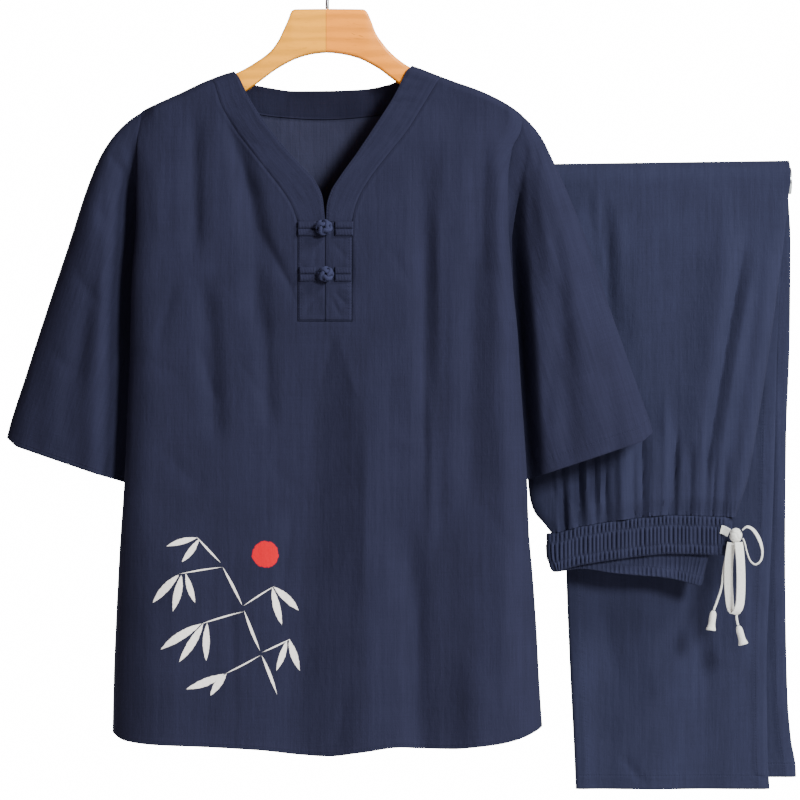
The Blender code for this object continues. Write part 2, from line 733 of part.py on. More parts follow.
def lower_block(face, lows, rows):
    """Rows of a panel from the placket's foot to the hem, left to right."""
    grid = []
    for i in range(rows + 1):
        t = i / rows
        row = []
        for f in TURN_STEPS:
            z = lerp(PLACKET_LOW, HEM[face](turned_x(SIDES["left"], HEM_LINE, f)), t)
            row.append(turned(SIDES["left"], face, z, f))
        for x_low in lows:
            z = lerp(PLACKET_LOW, HEM[face](flat_x(x_low, HEM_LINE)), t)
            row.append(outside(face, flat_x(x_low, z), z))
        for f in reversed(TURN_STEPS):
            z = lerp(PLACKET_LOW, HEM[face](turned_x(SIDES["right"], HEM_LINE, f)), t)
            row.append(turned(SIDES["right"], face, z, f))
        grid.append(row)
    return grid


def spread(start, end, count):
    """Evenly spaced values after start, the last of them end."""
    return [lerp(start, end, (i + 1) / count) for i in range(count)]


def half_columns(side_name, face, shoulders, seam_foot, lows):
    """A panel's upper columns from one armhole to its last column before the neck seam's low part."""
    side = SIDES[side_name]
    count = UPPER_ROWS[face]
    columns = [side_column(side, face, f, count) for f in TURN_STEPS]
    for x_top, x_low in zip(shoulders, lows):
        z_top = RIDGE(x_top)
        columns.append(flat_column(face, x_top, z_top, x_low, z_top - WRAP_DROP, count))
    x, z = seam_foot
    columns.append(flat_column(face, x, z, lows[len(shoulders)], z, count))
    return columns


def front_panel():
    blocks = []
    lows = {}
    for side_name, side in SIDES.items():
        notch = PLACKET_LEFT if side_name == "left" else PLACKET_RIGHT
        over, below = neck_line(side_name, "outer", SEAM_GAP)
        below[-1] = (notch, PLACKET_TOP)
        shoulders = shoulder_columns(side_name, 1)
        count = len(shoulders) + 1 + len(below)
        xs = spread(turned_x(side, PLACKET_LOW, 1.0), notch, count)
        lows[side_name] = xs
        top = ridge_rows(side, "front", shoulders, xs, over)
        columns = half_columns(side_name, "front", shoulders, over[-1], xs)
        for (x, z), x_low in zip(below, xs[len(shoulders) + 1:]):
            columns.append(flat_column("front", x, z, x_low, z, UPPER_ROWS["front"]))
        for block in (top, rows_of(columns)):
            blocks.append(block if side_name == "left" else [row[::-1] for row in block])
    notch_foot = spread(PLACKET_LEFT, PLACKET_RIGHT, NOTCH_COLUMNS)[:-1]
    across = lows["left"] + notch_foot + lows["right"][::-1]
    blocks.append(lower_block("front", across, LOWER_ROWS["front"]))
    cloth("top_front", blocks, CLOTH, "navy_linen")


def back_panel():
    over_left, between, over_right = back_neck_line("outer", SEAM_GAP)
    ends = [turned_x(SIDES[s], PLACKET_LOW, 1.0) for s in ("left", "right")]
    left_shoulders = shoulder_columns("left", 1)
    right_shoulders = shoulder_columns("right", 1)
    count = len(left_shoulders) + len(right_shoulders) + len(between) + 2
    lows = spread(ends[0], ends[1], count + 1)[:-1]
    mirrored = lows[::-1]
    left = half_columns("left", "back", left_shoulders, over_left[-1], lows)
    right = half_columns("right", "back", right_shoulders, over_right[-1], mirrored)
    middle_lows = lows[len(left_shoulders) + 1:-len(right_shoulders) - 1]
    rows = UPPER_ROWS["back"]
    middle = [flat_column("back", x, z, low, z, rows) for (x, z), low in zip(between, middle_lows)]
    top_left = ridge_rows(SIDES["left"], "back", left_shoulders, lows, over_left)
    top_right = ridge_rows(SIDES["right"], "back", right_shoulders, mirrored, over_right)
    upper = rows_of(left + middle + right[::-1])
    lower = lower_block("back", lows, LOWER_ROWS["back"])
    grids = [[row[::-1] for row in grid] for grid in (top_left, upper, lower)]
    cloth("top_back", [*grids, top_right], CLOTH, "navy_linen")


def neckbands():
    for side_name in SIDES:
        outer_over, outer_below = neck_line(side_name, "outer")
        inner_over, inner_below = neck_line(side_name, "inner")
        grid = []
        for drop, (a, _), (b, _) in zip(WRAP_ROWS, outer_over, inner_over):
            xs = [lerp(a, b, c) for c in BAND_COLUMNS]
            grid.append([outside("front", x, RIDGE(x) - drop) for x in xs])
        for a, b in zip(outer_below, inner_below):
            grid.append([outside("front", lerp(a[0], b[0], c), lerp(a[1], b[1], c)) for c in BAND_COLUMNS])
        grid = grid if side_name == "left" else [row[::-1] for row in grid]
        cloth(f"neckband_{side_name}", [grid], BAND_WALL, "navy_band")
    upper = back_neck_line("inner")
    lower = back_neck_line("outer")
    rows = []
    for c in BAND_COLUMNS:
        xs = [[lerp(a[0], b[0], c) for a, b in zip(upper[k], lower[k])] for k in (0, 2)]
        ends = [[outside("back", x, RIDGE(x) - drop) for x, drop in zip(line, WRAP_ROWS)] for line in xs]
        places = [(lerp(a[0], b[0], c), lerp(a[1], b[1], c)) for a, b in zip(upper[1], lower[1])]
        between = [outside("back", x, z) for x, z in places]
        rows.append((ends[0] + between + ends[1][::-1])[::-1])
    cloth("neckband_back", [rows], BAND_WALL, "navy_band")


def plackets():
    rows = spread(PLACKET_TOP - SEAM_GAP, PLACKET_LOW + SEAM_GAP, PLACKET_ROWS)
    edges = {
        "left": (PLACKET_LEFT + SEAM_GAP, SLIT_X - SEAM_GAP),
        "right": (SLIT_X + SEAM_GAP, PLACKET_RIGHT - SEAM_GAP),
    }
    for side_name, (start, end) in edges.items():
        xs = [start] + spread(start, end, PLACKET_COLUMNS)
        grid = [[outside("front", x, z) for x in xs] for z in [PLACKET_TOP - SEAM_GAP] + rows]
        cloth(f"placket_{side_name}", [grid], BAND_WALL, "navy_band")


def sleeve_point(side_name, w, beta):
    """A point round a sleeve: beta is 0 at its outer edge, 180 degrees at its inner one, before the arm
    where its sine is above 0."""
    side = SIDES[side_name]
    table = SLEEVES[side_name]
    e = (1 + math.cos(beta)) / 2
    x = lerp(table["inner_x"](w), table["outer_x"](w), e)
    z = lerp(table["inner_z"](w), table["outer_z"](w), e)
    corner = smooth((e - 1 + CUFF_CORNER_SHARE) / CUFF_CORNER_SHARE)
    z += CUFF_CORNER * corner * smooth((w - CUFF_CORNER_START) / (1 - CUFF_CORNER_START))
    if w == 0:
        z = lerp(side["under"], side["top"], e)
        recess = smooth((side["top"] - z) / SHOULDER_DROP)
        half = max(0.0, armhole(side, z) - RIDGE_GAP - CLOTH * recess) if 0 < e < 1 else 0.0
        x = turned_x(side, z, 0.0) + side["sign"] * (SEAM_GAP + recess * CLOTH / 2)
        return (x, -half if math.sin(beta) > 0 else half, z)
    hold = (1 - w) ** ARMHOLE_HOLD
    x = lerp(x, turned_x(side, z, 0.0) + side["sign"] * ARMHOLE_STAND, hold * (1 - abs(2 * e - 1)))
    shape = math.sqrt(max(0.0, 1 - abs(2 * e - 1) ** 3))
    out = side["sign"] * (x - body_edge(side, z))
    valley = lerp(RECESS_SHARE, 1.0, smooth(out / RECESS_WIDTH))
    valley = lerp(1.0, valley, smooth((side["top"] - SHOULDER_LEVEL - z) / SHOULDER_DROP))
    if math.sin(beta) > 0:
        return (x, -shape * (table["front"](w) * valley + relief(SLEEVE_FOLDS[side_name], x, z) * shape), z)
    return (x, shape * table["back"](w) * valley, z)


def sleeves():
    for side_name, start, turn in (("left", 0.0, 1), ("right", math.pi, -1)):
        betas = [start + turn * 2 * math.pi * j / SLEEVE_SIDES for j in range(SLEEVE_SIDES)]
        rows = []
        for w in SLEEVE_RINGS:
            ring = [sleeve_point(side_name, w, beta) for beta in betas]
            rows.append(ring + ring[:1])
        cloth(f"sleeve_{side_name}", [rows], CLOTH, "navy_linen")


def wood_section(x, half):
    """Nine points round the wood at x, with a rounded top and eased lower corners."""
    top = RIDGE(x) - BAND_WALL - REST_GAP
    low = WOOD_LOW(x)
    return [
        (x, -half, low + WOOD_EASE), (x, -half, top - WOOD_CROWN), (x, -half / 2, top - WOOD_CROWN / 4),
        (x, 0, top), (x, half / 2, top - WOOD_CROWN / 4), (x, half, top - WOOD_CROWN),
        (x, half, low + WOOD_EASE), (x, half - WOOD_EASE, low), (x, -half + WOOD_EASE, low),
    ]


def hanger():
    for side_name, xs, look in (
        ("left", WOOD_STATIONS_LEFT, "pale_wood"),
        ("right", WOOD_STATIONS_RIGHT, "amber_wood"),
    ):
        longest = abs(xs[-1])
        rings = []
        for x in xs:
            half = lerp(WOOD_HALF, WOOD_END_HALF, abs(x) / longest)
            rings.append(wood_section(x, half))
        end = rings[-1]
        middle = [sum(p[k] for p in end) / len(end) for k in range(3)]
        rings[-1] = [tuple(lerp(c, m, WOOD_END_SHRINK) for c, m in zip(p, middle)) for p in end]
        lofted(f"hanger_wood_{side_name}", rings if side_name == "left" else rings[::-1], look)


def wire(name, route, radius, look, points):
    """A round wire or cord on a smooth curve through a route's points."""
    line = smooth_route(route, points)
    curve = bpy.data.curves.new(name, "CURVE")
    curve.dimensions = "3D"
    spline = curve.splines.new("POLY")
    spline.points.add(len(line) - 1)
    for point, place in zip(spline.points, line):
        point.co = (place.x * MM, place.y * MM, place.z * MM, 1.0)
    curve.bevel_depth = radius * MM
    curve.bevel_resolution = WIRE_BEVEL
    curve.use_fill_caps = True
    obj = bpy.data.objects.new(name, curve)
    bpy.context.collection.objects.link(obj)
    finish(obj, look)
    return obj


def smooth_route(route, count):
    """Points at even steps on a smooth curve through the route's points."""
    knots = [Vector(p) for p in route]
    ends = [knots[0] * 2 - knots[1], *knots, knots[-1] * 2 - knots[-2]]
    fine = []
    for a, b, c, d in zip(ends, ends[1:], ends[2:], ends[3:]):
        for k in range(12):
            t = k / 12
            fine.append(0.5 * (2 * b + (c - a) * t + (2 * a - 5 * b + 4 * c - d) * t * t
                               + (3 * b - a - 3 * c + d) * t ** 3))
    fine.append(knots[-1])
    lengths = [0.0]
    for p, q in zip(fine, fine[1:]):
        lengths.append(lengths[-1] + (q - p).length)
    line = []
    for k in range(count):
        target = lengths[-1] * k / (count - 1)
        i = min(bisect_right(lengths, target), len(fine) - 1)
        span = lengths[i] - lengths[i - 1]
        line.append(fine[i - 1].lerp(fine[i], (target - lengths[i - 1]) / span if span else 0.0))
    return line


def hook():
    centre = -HOOK_RADIUS
    radius = HOOK_RADIUS + WIRE_RADIUS
    stem_foot = RIDGE(0) - BAND_WALL - REST_GAP + SEAM_GAP
    route = [(x, 0, stem_foot + rise) for x, rise in HOOK_STEM]
    for degrees in HOOK_TURN:
        a = math.radians(degrees)
        route.append((radius * math.cos(a), 0, centre + radius * math.sin(a)))
    wire("hanger_hook", route, WIRE_RADIUS, "steel", HOOK_POINTS)


def rod_z(x):
    return ROD_Z + ROD_SLOPE * (x - ROD_MID)


def rod():
    rings = []
    for x in ROD_ENDS:
        ring = []
        for k in range(ROD_SIDES):
            a = 2 * math.pi * k / ROD_SIDES
            ring.append((x, ROD_Y + ROD_RADIUS * math.cos(a), rod_z(x) + ROD_RADIUS * math.sin(a)))
        rings.append(ring)
    lofted("trouser_rod", rings, "steel")


def waist_z(layer, x):
    """Height of the seam between a layer of the trousers and the waistband."""
    return WAIST_TOP(x) - (INNER_DROP(x) if layer["inner"] else 0.0)


def layer_offset(layer, place, t, x, left, right):
    """Distance of a layer from the bar's plane: t runs from the bar to the waist or to the hem."""
    pair = PAIRS[layer["pair"]]
    centres = [lerp(p["bar_centre"], p[place + "_centre"], smooth(t)) for p in PAIRS]
    half = lerp(pair["bar_half"], pair[place + "_half"], smooth(t))
    centre = centres[layer["pair"]]
    close = (CLOTH + SEAM_GAP) / 2
    full = centre + layer["step"] * half
    left_end = centre + layer["step"] * close
    right_end = left_end
    right_turn = EDGE_TURN
    if place == "waist":
        middle = sum(centres) / 2
        joined = middle + (close if layer["pair"] else -close)
        start = JOIN_START["inner" if layer["inner"] else "outer"]
        join = smooth((t - start) / JOIN_SPAN)
        right_end = lerp(left_end, joined, join)
        right_turn = EDGE_TURN if layer["inner"] else lerp(EDGE_TURN, FOLD_TURN, join)
    from_left = 1 - rounded((x - left) / EDGE_TURN)
    from_right = 1 - rounded((right - x) / right_turn)
    return full + (left_end - full) * from_left + (right_end - full) * from_right


def trouser_row_front(layer, share, columns):
    """A row in front of the bar; share is 0 at the waist and 1 at the bar."""
    row = []
    for u in columns:
        z_guess = lerp(WAIST_LINE, ROD_Z, share)
        for _ in range(3):
            left = WAIST_PART["left"](z_guess)
            right = WAIST_PART["inner_right" if layer["inner"] else "right"](z_guess)
            x = lerp(left, right, u)
            foot = waist_z(layer, x) + (SEAM_GAP if layer["pleated"] else HIDDEN_GAP)
            z_guess = lerp(foot, rod_z(x), share)
        t = 1 - share
        offset = layer_offset(layer, "waist", t, x, left, right)
        lift = relief(WAIST_FOLDS + PLEATS, x, z_guess) if layer["pleated"] else 0.0
        inside = rounded((x - left) / EDGE_TURN) * rounded((right - x) / EDGE_TURN)
        row.append((x, ROD_Y - offset - lift * inside, z_guess))
    return row


def trouser_row_back(layer, share, columns):
    """A row behind the bar; share is 0 at the bar and 1 at the hem."""
    name = PAIRS[layer["pair"]]["pair"]
    row = []
    for u in columns:
        z = lerp(ROD_Z, LEG_HEM[name], share)
        left, right = LEGS[name]["left"](z), LEGS[name]["right"](z)
        x = lerp(left, right, u)
        z = lerp(rod_z(x), LEG_HEM[name], share)
        offset = layer_offset(layer, "hem", share, x, left, right)
        inside = rounded((x - left) / EDGE_TURN) * rounded((right - x) / EDGE_TURN)
        row.append((x, ROD_Y + offset - relief(LEG_FOLDS, x, z) * inside, z))
    return row


def trouser_row_arc(layer, angle, columns):
    """A row over the bar, at an angle from the front."""
    left, right = WAIST_PART["left"](ROD_Z), WAIST_PART["right"](ROD_Z)
    row = []
    for u in columns:
        x = lerp(left, right, u)
        radius = layer_offset(layer, "hem", 0.0, x, left, right)
        row.append((x, ROD_Y - radius * math.cos(angle), rod_z(x) + radius * math.sin(angle)))
    return row


def trousers():
    for layer in LAYERS:
        columns = PLEAT_COLUMNS if layer["pleated"] else PLAIN_COLUMNS
        rows = [trouser_row_front(layer, share, columns) for share in WAIST_ROWS]
        rows += [trouser_row_arc(layer, math.pi * k / ARC_STEPS, columns) for k in range(1, ARC_STEPS)]
        rows += [trouser_row_back(layer, share, columns) for share in (0.0, *LEG_ROWS)]
        obj = cloth(layer["node"], [rows if layer["step"] < 0 else rows[::-1]], CLOTH, "navy_linen")
        obj.modifiers["wall"].offset = 0


def band_path():
    """The waistband's middle line seen from above, as points x, y, how far down the inner layers hang there,
    whether a gather stands out, and whether the plain inside has a point."""
    right = WAIST_PART["right"](WAIST_LINE)
    inner_right = WAIST_PART["inner_right"](WAIST_LINE)
    left = WAIST_PART["left"](WAIST_LINE)
    ys = [ROD_Y - (p["waist_centre"] + s * p["waist_half"]) for p in PAIRS for s in (-1, 1)]
    near_front, near_back, far_back, far_front = ys
    small = WAIST_STEP / 2
    big = (near_front - far_front) / 2
    path = []

    def run(x0, x1, y, inner, gathers):
        for k in range(2 * gathers):
            path.append((lerp(x0, x1, k / (2 * gathers)), y, inner, k % 2, k % INSIDE_EVERY == 0))

    def bend(x, y, radius, start, turn, inner, steps):
        for k in range(steps):
            a = start + turn * k / steps
            path.append((x + radius * math.cos(a), y + radius * math.sin(a), inner, 0, True))

    quarter = math.pi / 2
    run(left, right - big, far_front, 0, OUTER_GATHERS)
    bend(right - big, (far_front + near_front) / 2, big, -quarter, math.pi, 0, 8)
    run(right - big, left, near_front, 0, OUTER_GATHERS)
    bend(left, (near_front + near_back) / 2, small, quarter, math.pi, 0.5, 4)
    run(left, inner_right - small, near_back, 1, INNER_GATHERS)
    bend(inner_right - small, (near_back + far_back) / 2, small, quarter, -math.pi, 1, 4)
    run(inner_right - small, left, far_back, 1, INNER_GATHERS)
    bend(left, (far_back + far_front) / 2, small, quarter, math.pi, 0.5, 4)
    return path


def band_point(path, i, out, drop):
    """A point at a distance out from the waistband's middle line, a drop below its top."""
    x, y, inner = path[i][:3]
    after = path[(i + 1) % len(path)]
    along = Vector((after[0] - path[i - 1][0], after[1] - path[i - 1][1])).normalized()
    return (x + along.y * out, y - along.x * out, WAIST_TOP(x) - INNER_DROP(x) * inner - drop)


def waistband():
    path = band_path()
    n = len(path)
    half = ELASTIC_WALL / 2
    points = []
    for drop in (0.0, BAND_HEIGHT):
        points += [band_point(path, i, half + GATHER_RISE * path[i][3], drop) for i in range(n)]
    kept = [i for i in range(n) if path[i][4]]
    m = len(kept)
    for drop in (0.0, BAND_HEIGHT):
        points += [band_point(path, i, -half, drop) for i in kept]
    top, low = 2 * n, 2 * n + m
    faces = [(i, n + i, n + (i + 1) % n, (i + 1) % n) for i in range(n)]
    for j, i in enumerate(kept):
        k = (j + 1) % m
        count = (kept[k] - i) % n
        edge = [(i + g) % n for g in range(count + 1)]
        faces.append((top + j, top + k, low + k, low + j))
        faces.append((top + j, *edge, top + k))
        faces.append((low + k, *[n + e for e in reversed(edge)], low + j))
    new_mesh("waistband", points, faces, "navy_band")


def frog(name, x0, x1, z_mid):
    """A doubled cord lying on the placket: two rounds side by side."""
    rings = []
    for x in (x0, (x0 + x1) / 2, x1):
        ring = []
        for across, lift in LEAF_PROFILE:
            z = z_mid + across * LEAF_HALF
            surface = outside("front", x, z)[1] - SEAM_GAP
            ring.append((x, surface - LEAF_RISE * lift, z))
        rings.append(ring)
    lofted(name, rings[::-1], "navy_band")


def frogs():
    for place, end in LEAF_ENDS.items():
        frog(f"frog_{place}_left", SLIT_X - end, SLIT_X - LEAF_START, LEAF_LINE[place])
        frog(f"frog_{place}_right", SLIT_X + LEAF_START, SLIT_X + end, LEAF_LINE[place])


def ball(name, centre, radii, look):
    """A rounded knot: an ellipsoid with flattened ends."""
    rings = []
    for i in range(BALL_RINGS):
        a = math.pi * (i + 0.5) / BALL_RINGS
        ring = []
        for j in range(BALL_SIDES):
            b = -2 * math.pi * j / BALL_SIDES
            x = centre[0] + radii[0] * math.sin(a) * math.cos(b)
            z = centre[2] + radii[2] * math.sin(a) * math.sin(b)
            ring.append((x, centre[1] - radii[1] * math.cos(a), z))
        rings.append(ring)
    lofted(name, rings, look)


def buttons():
    for button in BUTTONS:
        x, z = button["x"], button["z"]
        rise = min(outside("front", x + dx, z + dz)[1] for dx in BUTTON_SEAT for dz in BUTTON_SEAT)
        centre = (x, rise - SEAM_GAP - BUTTON_DEEP * BUTTON_FLAT, z)
        ball(button["node"], centre, (button["wide"], BUTTON_DEEP, button["high"]), "navy_button")


def tape(name, route, width, turns, points):
    """A flat tape on a smooth curve. Its width starts along the given direction and keeps to it round the
    curve, turned by the degrees in the list from its first end to its last."""
    line = smooth_route(route, points)
    turn = through([(i / (len(turns) - 1), degrees) for i, degrees in enumerate(turns)])
    along = (line[1] - line[0]).normalized()
    side = Vector(width)
    rings = []
    for i, place in enumerate(line):
        ahead = (line[min(i + 1, len(line) - 1)] - line[max(i - 1, 0)]).normalized()
        side = along.rotation_difference(ahead) @ side
        side = (side - ahead * side.dot(ahead)).normalized()
        along = ahead
        across = Quaternion(along, math.radians(turn(i / (len(line) - 1)))) @ side
        normal = along.cross(across)
        rings.append([
            tuple(place + across * (w * TAPE_WIDTH / 2) + normal * (n * TAPE_THICK / 2))
            for w, n in TAPE_PROFILE
        ])
    lofted(name, rings, "cream_cotton")


def tip(name, top, foot):
    """A bell-shaped end cap from its narrow top to its wide foot."""
    top, foot = Vector(top), Vector(foot)
    along = (foot - top).normalized()
    side = along.cross(Vector((0, 1, 0))).normalized()
    back = along.cross(side)
    angles = [2 * math.pi * j / TIP_SIDES for j in range(TIP_SIDES)]
    rings = []
    for row in TIP_PROFILE:
        centre = top.lerp(foot, row["share"])
        r = row["radius"]
        rings.append([tuple(centre + side * r * math.cos(a) + back * r * math.sin(a)) for a in angles])
    lofted(name, rings, "cream_cotton")


def drawstring():
    ball("drawstring_knot", KNOT_CENTRE, KNOT_RADII, "cream_cotton")
    for row in TAPES:
        tape(row["node"], row["route"], row["width"], row["turns"], row["sections"])
    for row in TAILS:
        wire(f"drawstring_tail_{row['side']}", row["route"], TAIL_RADIUS, "cream_cotton", row["points"])
        tip(f"drawstring_tip_{row['side']}", row["tip_top"], row["tip_foot"])


def main():
    for obj in list(bpy.data.objects):
        bpy.data.objects.remove(obj, do_unlink=True)
    front_panel()
    back_panel()
    neckbands()
    plackets()
    sleeves()
    frogs()
    buttons()
    hanger()
    hook()
    rod()
    trousers()
    waistband()
    drawstring()


main()
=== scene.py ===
"""A two-piece linen suit: a short-sleeved top on a wooden hanger, and trousers folded over a bar.

Sizes in the tables are in millimetres. X runs to the viewer's right, Y away from the viewer and Z up, and
the origin is the inside top of the hanger's hook.
"""

import math
from collections import namedtuple
from functools import partialmethod

import bmesh
import bpy
import numpy as np
from bpy.props import FloatProperty, FloatVectorProperty, PointerProperty
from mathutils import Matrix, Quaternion, Vector


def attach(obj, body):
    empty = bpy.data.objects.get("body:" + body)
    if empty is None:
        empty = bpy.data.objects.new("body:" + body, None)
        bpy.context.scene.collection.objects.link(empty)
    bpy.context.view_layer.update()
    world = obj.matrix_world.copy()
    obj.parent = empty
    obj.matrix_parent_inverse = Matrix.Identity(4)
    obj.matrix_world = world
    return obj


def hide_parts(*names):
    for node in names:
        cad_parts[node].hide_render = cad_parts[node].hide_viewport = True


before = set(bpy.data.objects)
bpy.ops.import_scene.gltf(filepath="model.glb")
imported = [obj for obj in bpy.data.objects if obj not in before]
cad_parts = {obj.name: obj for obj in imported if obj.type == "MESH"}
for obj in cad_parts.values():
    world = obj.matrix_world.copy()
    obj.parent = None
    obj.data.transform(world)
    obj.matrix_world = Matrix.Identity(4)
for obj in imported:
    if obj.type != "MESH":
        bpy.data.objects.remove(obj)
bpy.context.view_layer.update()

bl_info = {
    "name": "Linen Suit on a Hanger",
    "version": (1, 0, 0),
    "blender": (4, 5, 0),
    "location": "View3D > Sidebar > Linen Suit",
    "description": "Sews and hangs a two-piece linen suit with corded closings",
    "category": "Object",
}

MM = 0.001
ROOT = "root"


def smooth(t):
    t = np.clip(t, 0.0, 1.0)
    return t * t * (3 - 2 * t)


def rounded(t):
    """A quarter circle from 0 to 1."""
    t = np.clip(t, 0.0, 1.0)
    return np.sqrt(1 - (1 - t) ** 2)


def lerp(a, b, t):
    return a + (b - a) * t


def linear(*screen):
    """A colour's linear numbers from its screen values out of 255."""
    shares = (value / 255 for value in screen)
    return tuple(s / 12.92 if s <= 0.04045 else ((s + 0.055) / 1.055) ** 2.4 for s in shares)


def through(points):
    """A smooth curve through (x, y) points, level past its ends and with no overshoot."""
    xs, ys = np.array(sorted(points), dtype=float).T
    steps = np.diff(ys) / np.diff(xs)
    before, after = steps[:-1], steps[1:]
    alike = before * after > 0
    inner = np.where(alike, 2 * before * after / np.where(alike, before + after, 1.0), 0.0)
    slopes = np.concatenate((steps[:1], inner, steps[-1:]))

    def read(x):
        x = np.clip(x, xs[0], xs[-1])
        i = np.clip(np.searchsorted(xs, x, side="right") - 1, 0, len(xs) - 2)
        wide = xs[i + 1] - xs[i]
        t = (x - xs[i]) / wide
        bend = t * (1 - t) * wide * (slopes[i] * (1 - t) - slopes[i + 1] * t)
        return lerp(ys[i], ys[i + 1], smooth(t)) + bend

    return read


def stations(columns, *rows):
    """A table's columns as smooth curves of its first."""
    names = columns.split()
    return {name: through([(row[0], row[i]) for row in rows]) for i, name in enumerate(names) if i}


def listed(columns, *rows):
    """A table's rows."""
    row_of = namedtuple("Row", columns)
    return [row_of(*row) for row in rows]


# Cloth
CLOTH = 1.4  # wall of a panel
BAND_WALL = 2.0  # wall of the neckband and placket, which are double cloth
SEAM_GAP = 0.3  # between two pieces that are sewn together
HIDDEN_GAP = 2.5  # the same where inner layers meet the waistband
RIDGE_GAP = 0.05  # from the plane of the hanger to the shoulder seam, on each side
SIDE_GAP = -0.3  # more of it at the hem
NECK_GAP = -0.4  # the panels go under the neckband by this
SLEEVE_GAP = -0.4  # and a sleeve under the armhole's edge
WELD = 0.02  # points closer than this are one
FAR = 1000.0  # a mark's value where a piece doesn't have that seam or hem
COORDS = "cloth"
MARKS = ("hem", "seam", "left", "right")
RIM_ANGLE = 50  # edges sharper than this many degrees are rims
SMOOTH_ANGLE = 40
EASE_STEPS = 4

# Hang of the top
ARM_REACH = 11.5  # from the hanger's plane to the cloth beside an arm
WRAP_DROP = 9.0  # the cloth has turned over the arm this far below its ridge
DRAPE_DROP = 80.0  # the panels have their full depth this far below the ridge
ROW_SPREAD = 1.35  # crowding of rows near the shoulders
ARMHOLE_HALF = 15.0  # half depth of an armhole
FAN_WIDTH = 16.0  # of a panel's turned edge at the end of the shoulder
FAN_START = 3.0  # the turned edge starts to widen this far below the shoulder's end
FAN_DROP = 35.0  # and has its full width after this
OPEN_TUCK = 40.0  # side seams that turn in less than this lie open (degrees)
FOLD_FADE = 0.22  # share of a fold's length over which it fades at each end
CREASE_FADE = 0.3  # the same for a crease
CREASE_DROP = 20.0  # creases have their full depth this far below the ridge
HEM_LINE = -810.0
PLACKET_TOP = -281.0
PLACKET_LOW = -383.0
PLACKET_LEFT = -29.3
PLACKET_RIGHT = 26.3
SLIT_X = -1.0  # where the two placket strips meet
PLACKET_EDGES = {
    "left": (PLACKET_LEFT + SEAM_GAP, SLIT_X - SEAM_GAP),
    "right": (SLIT_X + SEAM_GAP, PLACKET_RIGHT - SEAM_GAP),
}

# Fineness of the cloth
TURN = np.linspace(0, 1, 13)
WRAP = 1 - np.cos(np.linspace(0, math.pi / 2, 11))
FRONT_STEPS = 6
FRONT_ROWS = 80
NOTCH_COLUMNS = 20  # under the placket's foot
LOWER_SHARES = np.concatenate((np.linspace(0, 0.945, 145, endpoint=False), np.linspace(0.945, 1, 24)))
BACK_FINE = 8
BACK_ROWS = 55
BAND_ACROSS = np.array((
    0, 0.02, 0.045, 0.075, 0.11, 0.15, 0.2, 0.27, 0.35, 0.43, 0.51, 0.59, 0.67, 0.75, 0.81, 0.86, 0.9,
    0.93, 0.955, 0.98, 1,
))
BAND_STEPS = 14
PLACKET_FINE = (18, 60)
SLEEVE_COLUMNS = 110
SLEEVE_SHARES = np.concatenate((np.linspace(0.06, 0.93, 74, endpoint=False), np.linspace(0.93, 1, 24)))
SLEEVE_START = 5
SLEEVE_LEAN = 0.3  # of a sleeve's grain from the upright (radians)
FINE_LEGS = {"leg_far_front": 148, "leg_near_front": 72, "leg_far_back": 72}
LEG_COLUMNS = 48
WAIST_SHARES = (np.arange(111) / 110) ** 1.25
ARC_ROWS = 14
LEG_SHARES = np.concatenate((np.linspace(0, 0.96, 150, endpoint=False), np.linspace(0.96, 1, 26)))
EDGE_CROWD = 0.6
PATH_STEPS = 8
BAND_ROWS = 22

# Sewing
HEM_ROLL = 0.8  # radius of a hem's turned edge
HEM_THICK = 0.35  # how far a turned-up hem stands out
HEM_SLOPE = 3.0  # and above its stitches, how far up it still does
CUFF_SLOPE = 2.5
STITCH_DEEP = 0.35  # how far stitches pull the cloth in
STITCH_HALF = 0.9  # and how far from them that reaches
SEAM_DIP = 0.6
SEAM_ROLL = 1.2
SEAM_PUFF = 0.25
PUFF_AWAY = 2.2  # rolls from the seam to the puff beside it
FOLD_ROLL = 0.8
HEM_STITCH = 3.2  # from the edge of the top's hem to its stitches
EDGE_STITCH = 1.5
PLACKET_STITCH = 0.9  # from the placket's outline to its outer row of stitches
PLACKET_INNER = 3.6  # and to its inner row
PLACKET_STAND = 0.4  # how far the placket stands out from the front
STAND_SLOPE = 3.0
SLIT_ROLL = 0.7  # how far its strips turn in at the slit
SLIT_SLOPE = 1.5
CUFF_STITCH = {"left": 4.0, "right": 14.4}
LEG_STITCH = 14.0
FELL = 13.5  # width of the legs' felled side seams
BAND_STITCHES = (10.3, 30.2)
INNER_LEAN = 10.0  # how far the inner layers' end leans back at the waistband's foot
LEAN_START = 360.0
LEAN_SPAN = 38.0
BAND_CORNER = 6.0  # and how far its left end draws in there
CORNER_SPAN = 14.0

# Frogs: a knot in the middle and a leaf of doubled cord on each side
LEAF_HALF = 7.5  # half the height of a leaf
LEAF_RISE = 2.8
LEAF_POWER = 2.4  # above 2 for cords that are fuller than round
LEAF_CREASE = 0.3  # depth left between the two cords, and share of the half height that it takes up
LEAF_TIP = (1.6, 0.35, 0.97)  # length of a leaf's rounded end, its rise there and its height there
LEAF_CRIMP = 0.05
LEAF_START = 9.5  # from the slit to a leaf
LEAF_ENDS = {"upper": 28.4, "lower": 26.6}  # from the slit to a leaf's far end
LEAF_LINE = {"upper": -288.5, "lower": -335.0}
LEAF_ACROSS = 29
LEAF_ALONG = 26
BUTTON_DEEP = 6.0  # half depth of a knot
BUTTON_FLAT = 0.97  # share of it left by the flattened back
BUTTON_SEAT = (-7.0, 0.0, 7.0)  # where the cloth under a knot is felt
KNOT_LEADS = 3  # turns of the knot's cord about its middle
KNOT_BIGHTS = 4  # its bends at the front and at the back
KNOT_REACH = 62.0  # how far its bends reach towards its middle (degrees)
KNOT_WEAVE = 0.11  # how far its cord goes over and under itself
KNOT_PATH = 260
KNOT_SIDES = 12
